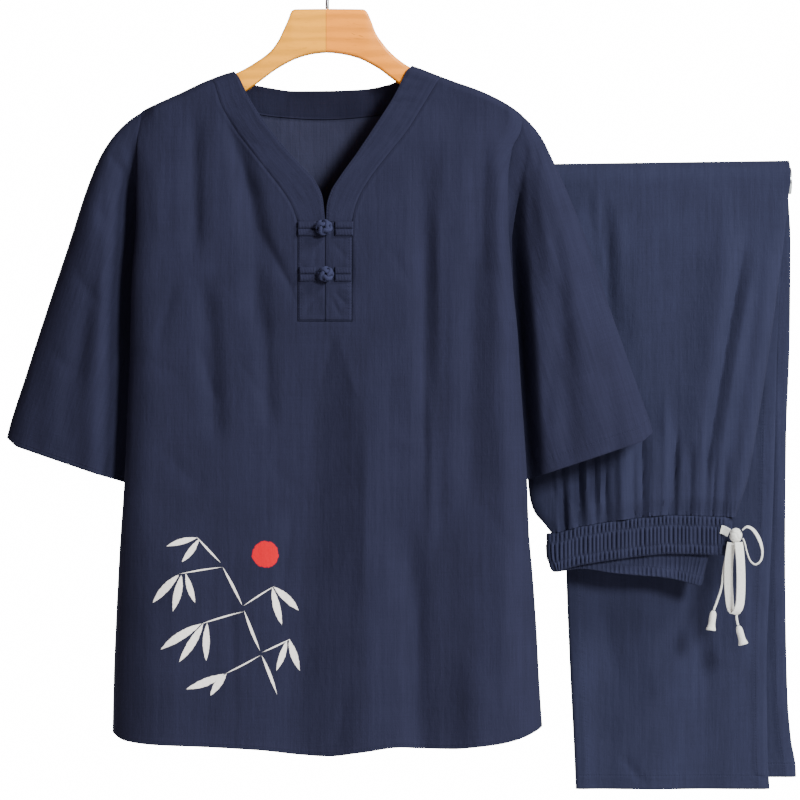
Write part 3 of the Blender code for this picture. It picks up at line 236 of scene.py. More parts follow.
KNOT_FLATTENED = (1.12, 0.9)  # width and thickness of its cord, as shares of the cord's own
KNOT_SUNK = 0.8  # share of the cord's thickness that lies within the knot's depth

# Bar and folded trousers
ROD_Y = 62.0
ROD_Z = -235.2
ROD_SLOPE = 0.014  # the bar rises a little to the right
ROD_MID = 358.0
ROD_ENDS = (239.0, 484.5)
ROD_RADIUS = 14.0
BAR_EASE = 1.0
BAR_RIM = 2.5  # from the bar's edge to the shallow dish in each end
BAR_DISH = 0.8
WAIST_STEP = 6.5  # from one layer of cloth to the next at the gathered waist
JOIN_START = {"outer": 0.2, "inner": 0.13}  # where the fold's layers close up
JOIN_SPAN = 0.12
GATHER_STEP = 4.2
RIPPLE = 0.9  # rise of the fine ripples above the waistband
RIPPLE_REACH = 14.0  # and how far up they reach
RIPPLE_WANDER = ((1.6, 11.0, 0.0), (0.9, 4.7, 1.0))  # how far they wander, over what width, and its phase
RIPPLE_VARY = (0.25, 17.0)  # share of their rise that varies, and over what width
BLOUSE = 4.6  # how far the cloth stands out above the waistband
BLOUSE_FADES = (0.06, 0.3)  # shares of the way to the bar over which it swells and fades
FELL_WIDTH = 12.5  # of the felled seam beside a leg's edges
FELL_RISE = 0.7
FELL_SLOPE = 1.6

# Waistband
BAND_HEIGHT = 40.0
ELASTIC_WALL = 2.0
BAND_RISE = 2.0  # how far a gather stands out
STITCH_HOLD = 0.75  # share of it that a row of stitches holds down
STITCH_REACH = 1.6
BAND_ROLL = 2.2  # height of the band's rolled edges
BAND_INSET = 0.6  # of its inside from them
OUTER_GATHERS = 42  # in each outer layer of the folded band
INNER_GATHERS = 34  # in each layer between them
GATHER_SHIFTS = (0.0, 0.3, 0.1)  # gathers above, between and below the stitches are out of step by these
GATHER_WANDER = 0.12  # and wander by this, in gathers
GATHER_LEAST = 0.7  # of BAND_RISE, in the lowest gather
GATHER_VARY = 0.6  # and how much more of it the highest one has
GATHER_POWER = 0.7  # below 1 for gathers that are fuller than a wave
GATHER_INSIDE = 0.8  # share of a gather that shows on the band's inside
WAIST_LINE = -601.0

# Hanger
WOOD_HALF = 8.5  # half thickness of the wood at the middle
WOOD_END_HALF = 6.5
WOOD_CROWN = 5.0  # radius of the wood's upper edges
WOOD_EASE = 3.0  # and of its lower edges
WOOD_STEPS = 3  # stations between each two of the wood's own
WOOD_END_SHRINK = 0.35
WOOD_TIP = (0.5, 0.8, 0.95, 1.0)  # places of the rings of an arm's end
REST_GAP = 1.0  # from the wood's top edge to the cloth that hangs on it
WIRE_RADIUS = 1.9
WIRE_SIDES = 24
WIRE_EASE = 0.9
HOOK_RADIUS = 18.0  # inside the hook
HOOK_ENDS = (195.0, -40.0)  # its free end and its foot (degrees)
HOOK_STEPS = 72
HOOK_BEND = 12.0  # radius of the bend between the ring and the stem

# Drawstring
TAPE_WIDTH = 9.0
TAPE_THICK = 1.5
TAPE_FINE = 6
TAIL_RADIUS = 1.25
TAIL_FINE = 3
ROUTE_STEPS = 12
KNOT_CENTRE = (423.5, 26, -603.5)
KNOT_RADII = (7.0, 6.0, 8.0)
KNOT_EASE = 0.97  # of those radii, where no crease draws the knot in
KNOT_SPAN = 0.985  # of the way from pole to pole, where its small end faces are
KNOT_CREASE = 0.16  # how deep the creases between its turns of tape are
KNOT_ROWS = 36
KNOT_COLUMNS = 54
TIP_COLUMNS = 40
TIP_ROUND = 3.6  # radius that a tip's cloth coordinates are laid out on
TIP_STEP = 1.4
CORD_POINTS = 40  # of each stated path
TAIL_SHADE = 0.97
TIP_PROFILE = listed(
    "share radius",
    (0.0, 1.2), (0.015, 1.9), (0.06, 2.6), (0.13, 3.2), (0.22, 3.55), (0.4, 3.65), (0.55, 3.6), (0.68, 3.7),
    (0.78, 4.05), (0.86, 4.6), (0.92, 5.05), (0.96, 5.2), (0.985, 5.05), (1.0, 4.5), (1.0, 3.6),
    (0.93, 3.1),
)

# Studio
VIEW_CENTRE = (75.0, 0.0, -463.0)
# Two lights to the viewer's right and one behind: each one's place to the right and above (degrees), and
# its share of the power
LAMPS = (("key_light", 33, 21, 0.55), ("side_light", 60, 42, 0.45), ("back_light", 205, 22, 0.4))
LAMP_TINT = (0.9, 0.97, 1.0)
FILL_TINT = (1.0, 0.8, 0.82, 1.0)
SENSOR = 36
KEY_DISTANCE = 4.0  # metres
FLOOR_RADIUS = 2.0  # metres
FLOOR_THICK = 0.02  # metres
FLOOR_LEVEL = -1200.0


# Ridge of the cloth over the hanger, seen from the front
RIDGE = stations(
    "x z",
    (-193, -167.4), (-187.5, -163.6), (-172, -156.2), (-151, -146.8), (-126, -134.9), (-105, -127),
    (-96, -124.3), (-90, -121.8), (-73, -112), (-59, -101.5), (-51, -91), (-46, -81), (-41, -70),
    (-36.5, -59.5), (-33, -57.8), (0, -57.5), (37, -57.8), (41, -60.5), (46, -71.5), (50, -82), (57, -92.5),
    (65.5, -102.5), (77.5, -112.5), (86.5, -118), (96, -121.5), (110, -127), (127, -133.5), (158, -144.5),
    (178, -154), (192, -162.5), (202, -170.3),
)["z"]
WOOD_LOW = stations(
    "x z",
    (-178, -184), (-151, -175), (-126, -166), (-105, -157), (-90, -149), (-78, -141), (-66, -132),
    (-51.5, -121.5), (-30, -110.5), (-15, -106.5), (0, -105), (15, -106.5), (30, -110), (53, -121.5),
    (67, -132), (80, -141), (92, -148), (106, -154.5), (137, -167), (168, -179), (190, -190),
)["z"]
WOOD_STATIONS_LEFT = (-1.15, -16, -33, -37, -41, -46, -51, -59, -73, -90, -105, -126, -151, -174, -178)
WOOD_STATIONS_RIGHT = (-0.85, 16, 37, 41, 46, 50, 57, 66, 78, 92, 110, 137, 168, 186, 190)

# Body of the top: fold edges seen from the front, how far each edge turns in to its seam (degrees)
# and how wide that turn is
BODY = stations(
    "z left right tuck turn",
    (-825, -221.5, 223.5, 0, 50), (-752, -220, 218.5, 0, 48), (-700, -218, 215.8, 0, 46),
    (-640, -214.5, 211.3, 12, 40), (-600, -211.5, 207.5, 35, 34), (-540, -207, 205, 62, 30),
    (-450, -203, 199, 64, 30), (-402, -201, 196, 60, 26), (-340, -199, 190, 60, 24),
    (-278, -195, 186, 54, 24), (-237, -195, 186, 36, 22), (-206, -195, 190, 12, 20),
    (-185, -196, 196, 0, 20),
)
DEPTH = stations(
    "z front back",
    (-830, 48, 34), (-720, 46, 32), (-640, 44, 30), (-490, 45, 28), (-400, 46, 29), (-340, 44, 31),
    (-280, 38, 32), (-240, 31, 32), (-200, 22, 31), (-160, 15, 28), (-120, 12, 24),
)
SIDES = {row.side: row for row in listed(
    "side sign end top under",
    ("left", -1, -191.0, -166.0, -412.0), ("right", 1, 201.0, -169.5, -412.0),
)}
HEM = {
    "front": stations(
        "x z",
        (-221, -804), (-207, -810.5), (-179, -813.5), (-148, -814.8), (-98, -817.4), (-67, -819.5),
        (-26.5, -824.4), (1, -825.6), (34, -821.5), (75, -816.6), (96, -818.3), (126, -818.5),
        (156, -815.6), (177, -813), (197, -808.5), (212, -803), (223, -798),
    )["z"],
    "back": stations(
        "x z",
        (-221, -804), (-169, -811), (-60, -817), (70, -817), (157, -810), (223, -798),
    )["z"],
}

# Soft folds of the panels, ridges with a rise above 0 and troughs with one below
FOLD_COLUMNS = "x_top z_top x_low z_low bow width rise"
FOLDS = {
    "front": listed(
        FOLD_COLUMNS,
        (-137, -150, -134, -330, 0, 9, -4.5), (-98, -165, -70, -410, 8, 12, -5),
        (-86, -225, -52, -345, 0, 9, -3), (-128, -330, -114, -520, 4, 11, -5),
        (-66, -360, -58, -500, 0, 9, -3.5), (4, -345, -34, -1000, -10, 27, -7),
        (42, -390, 32, -1000, 6, 22, 5.5), (96, -190, 108, -640, 4, 13, -5.5),
        (112, -230, 104, -640, 3, 8, 4), (80, -560, 94, -1000, 8, 15, -8),
        (150, -260, 146, -600, 0, 14, -5), (176, -170, 183, -620, 0, 9, 3.5),
        (-150, -560, -160, -1000, 0, 22, 4), (150, -700, 158, -1000, 0, 18, 4),
    ),
    "back": listed(
        FOLD_COLUMNS,
        (-120, -190, -104, -640, 6, 16, -6), (-52, -240, -66, -1000, 4, 20, 6),
        (2, -200, 6, -760, -5, 22, -8), (64, -330, 76, -1000, 0, 18, 6), (118, -220, 128, -700, 4, 15, -6),
        (-146, -520, -150, -1000, 0, 18, 4),
    ),
}

# Neckband: outer seam and free inner edge of each side, from the shoulder (0.1) to the placket (1)
NECK = {
    "left": stations(
        "t outer_x outer_z inner_x inner_z",
        (0.0, -119.5, -130.5, -96, -124.3), (0.1, -115, -138.6, -90.5, -131.0),
        (0.2, -111.5, -152, -82.5, -147.5), (0.3, -105, -168, -73, -164.5),
        (0.4, -94.5, -184.5, -61.5, -181), (0.5, -83, -200.5, -49.5, -196.5),
        (0.6, -71, -215.5, -37.5, -210.5), (0.7, -59, -231, -25.5, -223.5), (0.8, -47, -246.5, -14, -236),
        (0.9, -36.5, -262.5, -4.8, -252), (1.0, -29, -281, -1.3, -281),
    ),
    "right": stations(
        "t outer_x outer_z inner_x inner_z",
        (0.0, 118.5, -130.4, 87.5, -118.4), (0.1, 113, -139.2, 82, -128), (0.2, 104, -152, 72.5, -145),
        (0.3, 94, -169, 61, -163), (0.4, 82.5, -187, 49.5, -181.5), (0.5, 69.5, -203.5, 37.5, -200),
        (0.6, 57, -219.5, 25.5, -218), (0.7, 45.5, -235, 14, -234), (0.8, 36.5, -249.5, 5.5, -247.5),
        (0.9, 30, -264.5, 0.4, -262), (1.0, 26, -281, -0.7, -281),
    ),
}
NECK_STEPS = (0.1, 0.24, 0.4, 0.56, 0.7, 0.82, 0.92, 1.0)
BACK_NECK = stations(
    "s outer_x outer_z inner_x inner_z",
    (0.0, -116.0, -138.9, -91.5, -131.5), (0.12, -107, -151, -80, -136), (0.25, -86, -163.5, -62, -139.5),
    (0.4, -50, -170, -34, -142.5), (0.55, -5, -172.5, -2, -142.3), (0.7, 45, -169, 34, -141),
    (0.85, 87, -158, 65, -136), (1.0, 114, -140.5, 84, -127),
)
BACK_STEPS = (0.0, 0.12, 0.25, 0.4, 0.55, 0.7, 0.85, 1.0)

# Sleeves: outer and inner edge seen from the front, and half the depth before and behind the hanger's
# plane, from the armhole (0) to the cuff (1)
SLEEVES = {
    "left": stations(
        "w outer_x outer_z inner_x inner_z front back",
        (0.0, -191.3, -166.2, -189, -412, 15, 15), (0.06, -202, -173.5, -192.5, -419, 17, 17),
        (0.15, -217, -187.5, -194, -431, 21, 20), (0.25, -232, -209, -196.5, -444, 26, 24),
        (0.35, -245.5, -240, -198, -457, 29, 27), (0.5, -266.5, -304, -198.5, -480, 30, 29),
        (0.65, -286.5, -364, -199, -503, 30, 29), (0.8, -307.5, -429, -199.5, -525, 30, 29),
        (0.94, -326, -490, -200, -543, 28, 28), (1.0, -330, -507, -200, -551, 27, 27),
    ),
    "right": stations(
        "w outer_x outer_z inner_x inner_z front back",
        (0.0, 201.3, -169.8, 186, -412, 15, 15), (0.06, 209, -177.5, 189.5, -419, 17, 17),
        (0.15, 220.5, -192, 192, -431, 21, 20), (0.25, 233, -217, 193, -444, 26, 24),
        (0.35, 247, -248, 195, -457, 29, 27), (0.5, 268, -301, 197, -480, 30, 28),
        (0.65, 289.5, -364, 199, -502, 30, 28), (0.8, 311, -425, 200.5, -523, 30, 28),
        (0.94, 331, -485, 201.5, -539, 28, 27), (1.0, 335.5, -501.5, 202, -546, 27, 26),
    ),
}
CUFF_CORNER = 5.0  # how far the cuff's outer corner is rounded up
CUFF_CORNER_SHARE = 0.1  # of the sleeve's width that this takes up
CUFF_CORNER_START = 0.8  # how far down the sleeve it starts
SHOULDER_DROP = 90.0  # to the full depth of a sleeve's recess
SHOULDER_LEVEL = 8.0  # and above this it has none
RECESS_SHARE = 0.06  # of a sleeve's depth that is left beside the body
RECESS_WIDTH = {"left": 32.0, "right": 20.0}  # from the body to the sleeve's full depth
ARMHOLE_HOLD = 12  # how soon a sleeve leaves the armhole's line
ARMHOLE_STAND = 4.0
SLEEVE_FOLDS = {
    "left": listed(
        FOLD_COLUMNS,
        (-222, -215, -262, -470, 4, 10, -4), (-230, -250, -240, -600, -3, 12, 4),
        (-285, -330, -310, -600, 0, 12, -2.5),
    ),
    "right": listed(
        FOLD_COLUMNS,
        (222, -190, 262, -440, 4, 12, 4), (236, -260, 250, -560, 0, 11, -3.5),
        (270, -330, 298, -560, 4, 12, -3),
    ),
}

# Trousers: edges of the waist portion in front of the bar, and of each leg behind it
WAIST_PART = stations(
    "z left right inner_right",
    (-640, 233, 419, 397), (-603, 233, 420, 398), (-592, 226, 423, 402), (-580, 216, 426, 407),
    (-565, 211, 431, 414), (-547, 209, 436.7, 422), (-505, 206, 444.5, 434), (-443, 203, 454.6, 445.5),
    (-370, 203, 465, 457), (-328, 206, 470.5, 463), (-297, 213, 474.5, 470), (-260, 228, 478.5, 477.5),
    (-232, 238, 482.5, 482.5),
)
LEGS = {
    "near": stations(
        "z left right",
        (-871, 260.5, 463.7), (-836, 259, 461.6), (-736, 254, 460.6), (-647, 250.5, 464),
        (-568, 249, 467.5), (-400, 244.5, 472), (-300, 241, 477), (-232, 238, 482.5),
    ),
    "far": stations(
        "z left right",
        (-862, 288.5, 493.5), (-850, 288, 493), (-823, 286.5, 488.3), (-780, 284, 484.6),
        (-696, 279, 482.3), (-611, 275, 481.4), (-506, 268, 482), (-400, 260, 485.5), (-300, 248, 486.2),
        (-232, 238, 482.5),
    ),
}
LEG_HEM = {"near": -872.3, "far": -861.3}
# Distance from the bar's plane to the middle of each pair of layers, and half of what parts them
PAIRS = listed(
    "pair bar_centre bar_half waist_centre waist_half hem_centre hem_half",
    ("near", 15.95, 0.95, 9.75, 3.25, 20, 4), ("far", 19.75, 0.95, 22.75, 3.25, 36, 4),
)
LAYERS = listed(
    "node pair step inner pleated",
    ("leg_near_front", 0, -1, False, False), ("leg_near_back", 0, 1, True, False),
    ("leg_far_back", 1, -1, True, False), ("leg_far_front", 1, 1, False, True),
)
EDGE_TURN = 12.0  # width over which a layer turns in to its seam
FOLD_TURN = 5.0  # the same where the waist folds round its inner layers
WAIST_TOP = stations(
    "x z",
    (226, -602), (233, -601.7), (262, -595), (290, -590.3), (322, -586), (356, -583), (420, -585),
)["z"]
INNER_DROP = stations(
    "x drop",
    (226, 0), (262, 4), (300, 15), (350, 25), (400, 33),
)["drop"]
PLEATS = listed(
    FOLD_COLUMNS,
    (234, -540, 259, -625, -4, 4.5, -2.6), (247, -540, 265, -625, -2, 4.5, 2.4),
    (258, -525, 271, -625, 0, 4.5, -2.4), (268, -500, 280, -625, -2, 5, 2.2),
    (276, -480, 288, -625, -3, 5, -2.8), (286, -500, 298, -625, -4, 5, -1.6),
    (309, -440, 311, -625, 0, 7, 3.0), (317, -500, 322, -625, -2, 4, -2.4),
    (340, -490, 337, -625, 0, 7, 2.2), (360, -505, 353, -625, 0, 5, -2.6),
    (376, -500, 370, -625, 0, 5, -2.2), (395, -500, 390, -625, 0, 4.5, -2.4),
    (414, -510, 409, -625, 0, 4, -1.8),
)
WAIST_FOLDS = listed(
    FOLD_COLUMNS,
    (262, -250, 246, -560, -4, 9, 2.2), (298, -238, 296, -520, 3, 10, 3.2),
    (345, -250, 336, -540, 0, 15, 2.6), (418, -245, 376, -580, 6, 17, 3.6),
    (462, -265, 416, -600, 6, 9, 2.0),
)
LEG_FOLDS = listed(
    FOLD_COLUMNS,
    (335, -430, 345, -1000, 0, 28, 3), (400, -460, 392, -1000, 0, 24, -3),
    (290, -600, 285, -1000, 0, 18, -2.5),
)

# Knots of the frogs
BUTTONS = listed(
    "node x z wide high turn",
    ("button_upper", -2.5, -287.5, 9.3, 8.6, 0.3), ("button_lower", -0.5, -335.0, 8.7, 8.2, 1.3),
)

# Flat tapes of the drawstring: each route's points, the direction of its width at its first end, how far
# the width turns along it (degrees) and how many sections it has
TAPES = listed(
    "node width turns sections route",
    ("drawstring_exit", (0, 0, 1), (0, 0), 4, (
        (408.5, 32.4, -597.5), (412, 31, -598.5), (416.4, 28, -601),
    )),
    ("drawstring_loop_small", (0.45, 0.85, 0.3), (0, 10, 0, 0, 0), 20, (
        (430.2, 25, -597.5), (435, 24, -594.4), (441.5, 23, -598), (447.5, 22, -608), (450.5, 22, -619.5),
        (449, 22, -629), (443.5, 22.5, -633.5), (438, 23.5, -629.5), (434.5, 24.5, -620), (432.5, 25, -611.5),
        (430.5, 25.5, -606.5),
    )),
    ("drawstring_loop_long", (1, 0, 0), (-10, -2, -10, -60, -80, -80), 22, (
        (426, 22, -610.4), (427.5, 19, -630), (428, 18, -655), (427, 18, -673), (424.5, 19, -681),
        (421, 23, -684.5), (418.5, 27, -680), (417, 28, -670), (416, 28, -652), (416.5, 28, -630),
        (419, 27.5, -610.9),
    )),
)
# Thin ends of the drawstring and the bell-shaped tip of each
TAILS = listed(
    "side points tip_top tip_foot route",
    ("left", 16, (400.3, 27.1, -681.5), (397.5, 27, -702), (
        (420.5, 30.2, -610.2), (415.7, 31.3, -620), (411.5, 31.3, -637), (409, 30.5, -657), (404, 28, -672),
        (400.5, 27.2, -681),
    )),
    ("right", 18, (426.2, 28.8, -697.5), (431.5, 28, -717), (
        (425.5, 30.2, -610.3), (426.5, 31.4, -625), (426, 31.4, -648), (425, 31.2, -670), (424.5, 30, -688),
        (426, 29, -697),
    )),
)


# Creases of the cloth, each from (x, z) to (to_x, to_z): rise is above 0 for a ridge and below it for a
# trough, and sharp is near 1 for a pressed line and 2 for a soft one
CREASE_COLUMNS = "x z to_x to_z bow width rise sharp"
CREASES = {
    "front": listed(
        CREASE_COLUMNS,
        (-136, -160, -131, -310, 1, 4, -1.4, 1.3), (-108, -150, -68, -268, 4, 7, -2.4, 1.8),
        (-78, -276, -27, -376, -5, 5, -1.6, 1.4), (-60, -300, -32, -352, 3, 4, -0.9, 1.4),
        (-128, -396, -111, -470, 3, 5, -2.0, 1.6), (-150, -330, -172, -420, 2, 6, -1.5, 1.7),
        (-176, -210, -168, -300, 3, 6, 1.2, 1.8), (-95, -420, -60, -470, -3, 5, -1.0, 1.6),
        (-170, -500, -120, -560, 5, 9, -1.2, 1.8), (-100, -640, -96, -800, -3, 6, -1.3, 1.7),
        (-30, -560, -48, -700, 3, 5, -1.5, 1.5), (8, -395, -4, -450, 1, 4, -1.4, 1.3),
        (14, -392, 36, -470, 3, 5, 1.1, 1.5), (40, -480, 34, -700, -3, 6, 1.3, 1.6),
        (99, -300, 104, -560, 3, 3, -1.1, 1.3), (104, -420, 110, -620, 2, 4, 1.0, 1.5),
        (163, -176, 160, -360, 2, 9, -3.6, 1.7), (150, -190, 146, -310, -2, 7, -1.6, 1.6),
        (106, -270, 112, -520, 3, 15, -2.6, 1.9), (-40, -370, -62, -620, 4, 26, -3.6, 2),
        (118, -540, 130, -1100, 4, 24, -5.5, 2), (24, -300, 30, -360, 2, 5, -1.0, 1.7),
        (-182, -420, -140, -440, 3, 8, -0.8, 1.8), (-60, -520, -20, -560, 4, 8, -0.7, 1.8),
        (60, -500, 100, -520, -4, 8, 0.8, 1.8), (128, -170, 120, -260, 3, 6, 1.0, 1.8),
        (64, -300, 88, -350, 2, 6, -1.0, 1.7), (96, -640, 90, -816, 2, 6, -1.8, 1.6),
        (176, -380, 182, -500, -3, 7, -1.4, 1.7), (190, -600, 184, -760, 3, 6, 1.2, 1.7),
        (150, -560, 186, -620, -4, 8, -0.9, 1.8), (20, -760, 12, -822, 1, 5, -1.0, 1.6),
    ),
    "back": listed(
        CREASE_COLUMNS,
        (-128, -170, -112, -330, 3, 5, -1.5, 1.5), (-60, -190, -84, -300, -4, 6, -1.2, 1.7),
        (20, -185, 34, -330, 4, 7, -1.5, 1.6), (96, -178, 108, -300, 2, 5, 1.1, 1.6),
        (-160, -300, -120, -380, 5, 7, -1.4, 1.7), (140, -330, 110, -420, -5, 7, -1.3, 1.7),
        (-30, -420, -52, -600, 4, 6, -1.4, 1.6), (60, -460, 84, -640, -4, 6, 1.2, 1.6),
        (-150, -560, -128, -790, 4, 7, -1.5, 1.7), (6, -620, -4, -800, -3, 6, -1.2, 1.6),
        (130, -600, 138, -800, 3, 6, -1.4, 1.7), (-90, -700, -100, -812, 2, 5, 1.0, 1.6),
    ),
}
BAND_CREASES = {
    "left": listed(
        CREASE_COLUMNS,
        (-84, -196, -60, -206, 0, 3, -0.6, 1.5), (-66, -214, -40, -262, 3, 4, -0.9, 1.5),
        (-100, -160, -84, -168, 0, 3, -0.5, 1.6), (-34, -236, -18, -262, 2, 3, 0.5, 1.6),
    ),
    "right": listed(
        CREASE_COLUMNS,
        (66, -146, 104, -142, 1, 2.2, -0.7, 1.3), (64, -152, 100, -149, 1, 2.2, 0.5, 1.5),
        (58, -158, 99, -155, 1, 2.4, -0.8, 1.3), (56, -166, 94, -163, 0, 2.4, -0.6, 1.4),
        (50, -176, 88, -172, 1, 2.6, -0.7, 1.4), (48, -187, 78, -182, 0, 3, -0.5, 1.5),
        (44, -206, 66, -194, 0, 4, 0.5, 1.7), (30, -222, 52, -212, 1, 4, -0.4, 1.7),
        (72, -130, 108, -138, 0, 2.2, -0.5, 1.4),
    ),
}
PLACKET_CREASES = listed(
    CREASE_COLUMNS,
    (-26, -318, -19, -336, 2, 2.6, -1.0, 1.4), (-25, -346, -10, -342, 0, 2.6, 0.8, 1.6),
    (-3, -350, -1, -382, 0, 2.2, 0.8, 1.5), (8, -350, 25, -368, 2, 2.6, -1.2, 1.3),
    (5, -356, 17, -381, 1, 2.5, -1.0, 1.4), (12, -346, 26, -353, 1, 2.4, 0.7, 1.5),
    (-8, -354, -23, -378, 1, 3, -0.9, 1.5), (-10, -348, -27, -362, 1, 2.6, 0.6, 1.5),
    (5, -300, 23, -320, 1, 3, -0.8, 1.6), (-12, -298, -25, -310, 1, 3, 0.7, 1.7),
    (-8, -306, -12, -330, 1, 2.4, -0.6, 1.5),
)
SLEEVE_CREASES = {
    "left": listed(
        CREASE_COLUMNS,
        (-228, -200, -194, -246, 3, 3.5, -2.6, 1.4), (-214, -196, -200, -236, 1, 4, 1.6, 1.6),
        (-238, -256, -206, -300, 4, 6, -1.6, 1.7), (-262, -320, -222, -372, 5, 7, -1.5, 1.7),
        (-290, -400, -246, -440, 5, 7, -1.2, 1.7), (-226, -400, -214, -500, 3, 7, 1.6, 1.7),
        (-262, -420, -268, -510, 2, 7, -1.3, 1.8),
    ),
    "right": listed(
        CREASE_COLUMNS,
        (205, -178, 216, -226, 2, 4, 2.0, 1.6), (212, -204, 219, -226, 0, 2.5, -2.4, 1.3),
        (213, -216, 240, -366, 3, 7, 2.6, 1.7), (250, -260, 222, -310, -4, 6, -1.5, 1.7),
        (274, -330, 240, -392, -5, 7, -1.4, 1.7), (296, -404, 262, -450, -5, 7, -1.3, 1.7),
        (232, -400, 222, -500, -2, 7, -1.5, 1.7), (280, -430, 290, -512, 2, 7, 1.3, 1.8),
    ),
}
WAIST_CREASES = listed(
    CREASE_COLUMNS,
    (236, -516, 237, -634, -2, 3.2, 2.4, 1.5), (239, -490, 245, -634, -3, 2.6, -3.2, 1.3),
    (250, -500, 252, -634, -1, 3.0, 2.2, 1.5), (258, -455, 257, -634, -4, 3.6, -3.8, 1.4),
    (266, -480, 267, -634, -2, 3.2, 2.4, 1.5), (270, -430, 276, -634, -4, 3.6, -3.4, 1.4),
    (286, -244, 306, -440, 3, 13, -6.6, 1.8), (279, -236, 291, -350, 2, 5, 2.4, 1.6),
    (284, -490, 284, -634, 1, 3.0, 2.2, 1.5), (289, -470, 293, -634, 2, 2.8, -3.4, 1.3),
    (302, -470, 305, -634, -1, 3.6, 2.4, 1.5), (314, -520, 313, -634, 0, 2.4, -2.2, 1.3),
    (328, -450, 330, -634, 2, 3.4, -3.0, 1.4), (350, -440, 346, -634, -2, 4.5, 2.6, 1.5),
    (364, -480, 362, -634, 2, 3.0, -3.2, 1.3), (380, -500, 377, -634, 1, 3.0, -2.0, 1.4),
    (441, -262, 386, -580, 2, 6, -5.6, 1.5), (450, -290, 402, -560, 2, 7, 4.0, 1.6),
    (404, -510, 399, -634, 1, 2.6, -2.4, 1.3), (390, -470, 386, -634, -1, 3.2, 1.8, 1.5),
    (425, -240, 380, -570, 4, 26, 3.4, 2), (345, -250, 330, -560, -2, 15, -3.0, 2),
    (226, -300, 222, -470, -3, 6, -1.3, 1.7),
)
LEG_CREASES = {
    "near": listed(
        CREASE_COLUMNS,
        (307, -833, 337, -871, 2, 5, -1.8, 1.6), (444, -856, 465, -863, 0, 2.2, -1.2, 1.3),
        (276, -660, 306, -780, -6, 10, -1.8, 1.8), (330, -640, 356, -800, 5, 12, 2.2, 1.9),
        (392, -630, 400, -780, 4, 9, -1.8, 1.8), (430, -600, 436, -760, -3, 8, 1.6, 1.8),
        (270, -300, 300, -480, 4, 10, -1.6, 1.8), (420, -300, 400, -470, -4, 10, -1.6, 1.8),
    ),
    "far": listed(
        CREASE_COLUMNS,
        (300, -300, 316, -520, 4, 10, -1.8, 1.8), (352, -260, 340, -470, -4, 9, 1.6, 1.8),
        (420, -290, 432, -520, 3, 10, -1.7, 1.8), (470, -420, 474, -620, -2, 5, 1.4, 1.7),
        (330, -560, 318, -780, 4, 11, -2.0, 1.8), (400, -580, 410, -820, -3, 10, 1.8, 1.8),
        (452, -640, 446, -830, 3, 8, -1.6, 1.8), (306, -800, 330, -856, 2, 6, -1.4, 1.7),
    ),
}

# The print: brushed blades from (x, z) to (to_x, to_z), and the disc beside them
SPRIG = listed(
    "x z to_x to_z width bend",
    (-50, -763, -66, -722, 3.4, 0.3), (-67, -719, -84, -676, 3.1, -0.3), (-85, -673, -106, -632, 2.8, 0.3),
    (-107, -629, -132, -602, 2.3, -0.3), (-83, -678, -128, -691, 1.7, 0.6),
    (-66, -722, -104, -742, 1.7, -0.6), (-105, -633, -150, -640, 1.6, 0.6),
    (-85, -673, -52, -652, 1.6, -0.5), (-66, -720, -36, -706, 1.6, 0.5), (-126, -690, -169, -717, 9.0, 0.2),
    (-125, -690, -150, -730, 8.5, -0.2), (-121, -689, -122, -729, 7.5, 0.15),
    (-102, -741, -143, -757, 8.5, -0.2), (-101, -741, -118, -764, 7.5, 0.2),
    (-149, -640, -177, -670, 8.5, 0.2), (-147, -640, -156, -678, 8.5, -0.15),
    (-143, -639, -133, -670, 6.5, 0.2), (-54, -653, -28, -678, 8.0, -0.2), (-55, -653, -45, -693, 7.5, 0.2),
    (-38, -706, -27, -739, 7.5, 0.15), (-40, -707, -51, -739, 6.5, -0.2),
    (-131, -603, -163, -612, 6.5, 0.2), (-129, -604, -147, -628, 6.5, -0.2),
)
SUN = {"x": -62.0, "z": -620.0, "radius": 13.5}

# Small dark scratches in the hanger's varnish
SCRATCHES = listed(
    "x z to_x to_z width bend",
    (24.5, -85.5, 30, -88.5, 0.7, 0.2), (31, -88, 39, -90.5, 0.6, -0.3), (27, -91, 33, -91.6, 0.4, 0.1),
)


def placed(x, y, z):
    return np.stack(np.broadcast_arrays(x, y, z), axis=-1).astype(float)


def relief(folds, x, z):
    """How far soft folds lift the cloth."""
    total = 0.0
    for fold in folds:
        t = (fold.z_top - z) / (fold.z_top - fold.z_low)
        middle = lerp(fold.x_top, fold.x_low, t) + 4 * fold.bow * t * (1 - t)
        fade = smooth(t / FOLD_FADE) * smooth((1 - t) / FOLD_FADE)
        total = total + fold.rise * fade * np.exp(-((x - middle) / fold.width) ** 2)
    return total


def crumple(creases, x, z):
    """How far creases that run any way lift the cloth."""
    total = 0.0
    for crease in creases:
        run = np.array((crease.to_x - crease.x, crease.to_z - crease.z), float)
        long = np.hypot(*run)
        along, over = run / long
        t = ((x - crease.x) * along + (z - crease.z) * over) / long
        side = (x - crease.x) * over - (z - crease.z) * along - 4 * crease.bow * t * (1 - t)
        fade = smooth(t / CREASE_FADE) * smooth((1 - t) / CREASE_FADE)
        total = total + crease.rise * fade * np.exp(-np.abs(side / crease.width) ** crease.sharp)
    return total


def depth(face, x, z):
    """Distance from the hanger's plane to the outside of a panel."""
    drop = RIDGE(x) - z
    full = DEPTH[face](z) + relief(FOLDS[face], x, z)
    body = rounded(drop / WRAP_DROP) * lerp(ARM_REACH, full, smooth(drop / DRAPE_DROP))
    return body + crumple(CREASES[face], x, z) * smooth(drop / CREASE_DROP)


def outward(face):
    """The way along Y that is out of a panel."""
    return -1 if face == "front" else 1


def outside(face, x, z):
    """A point on the outside of a panel."""
    away = RIDGE_GAP + depth(face, x, z)
    return placed(x, outward(face) * away, z)


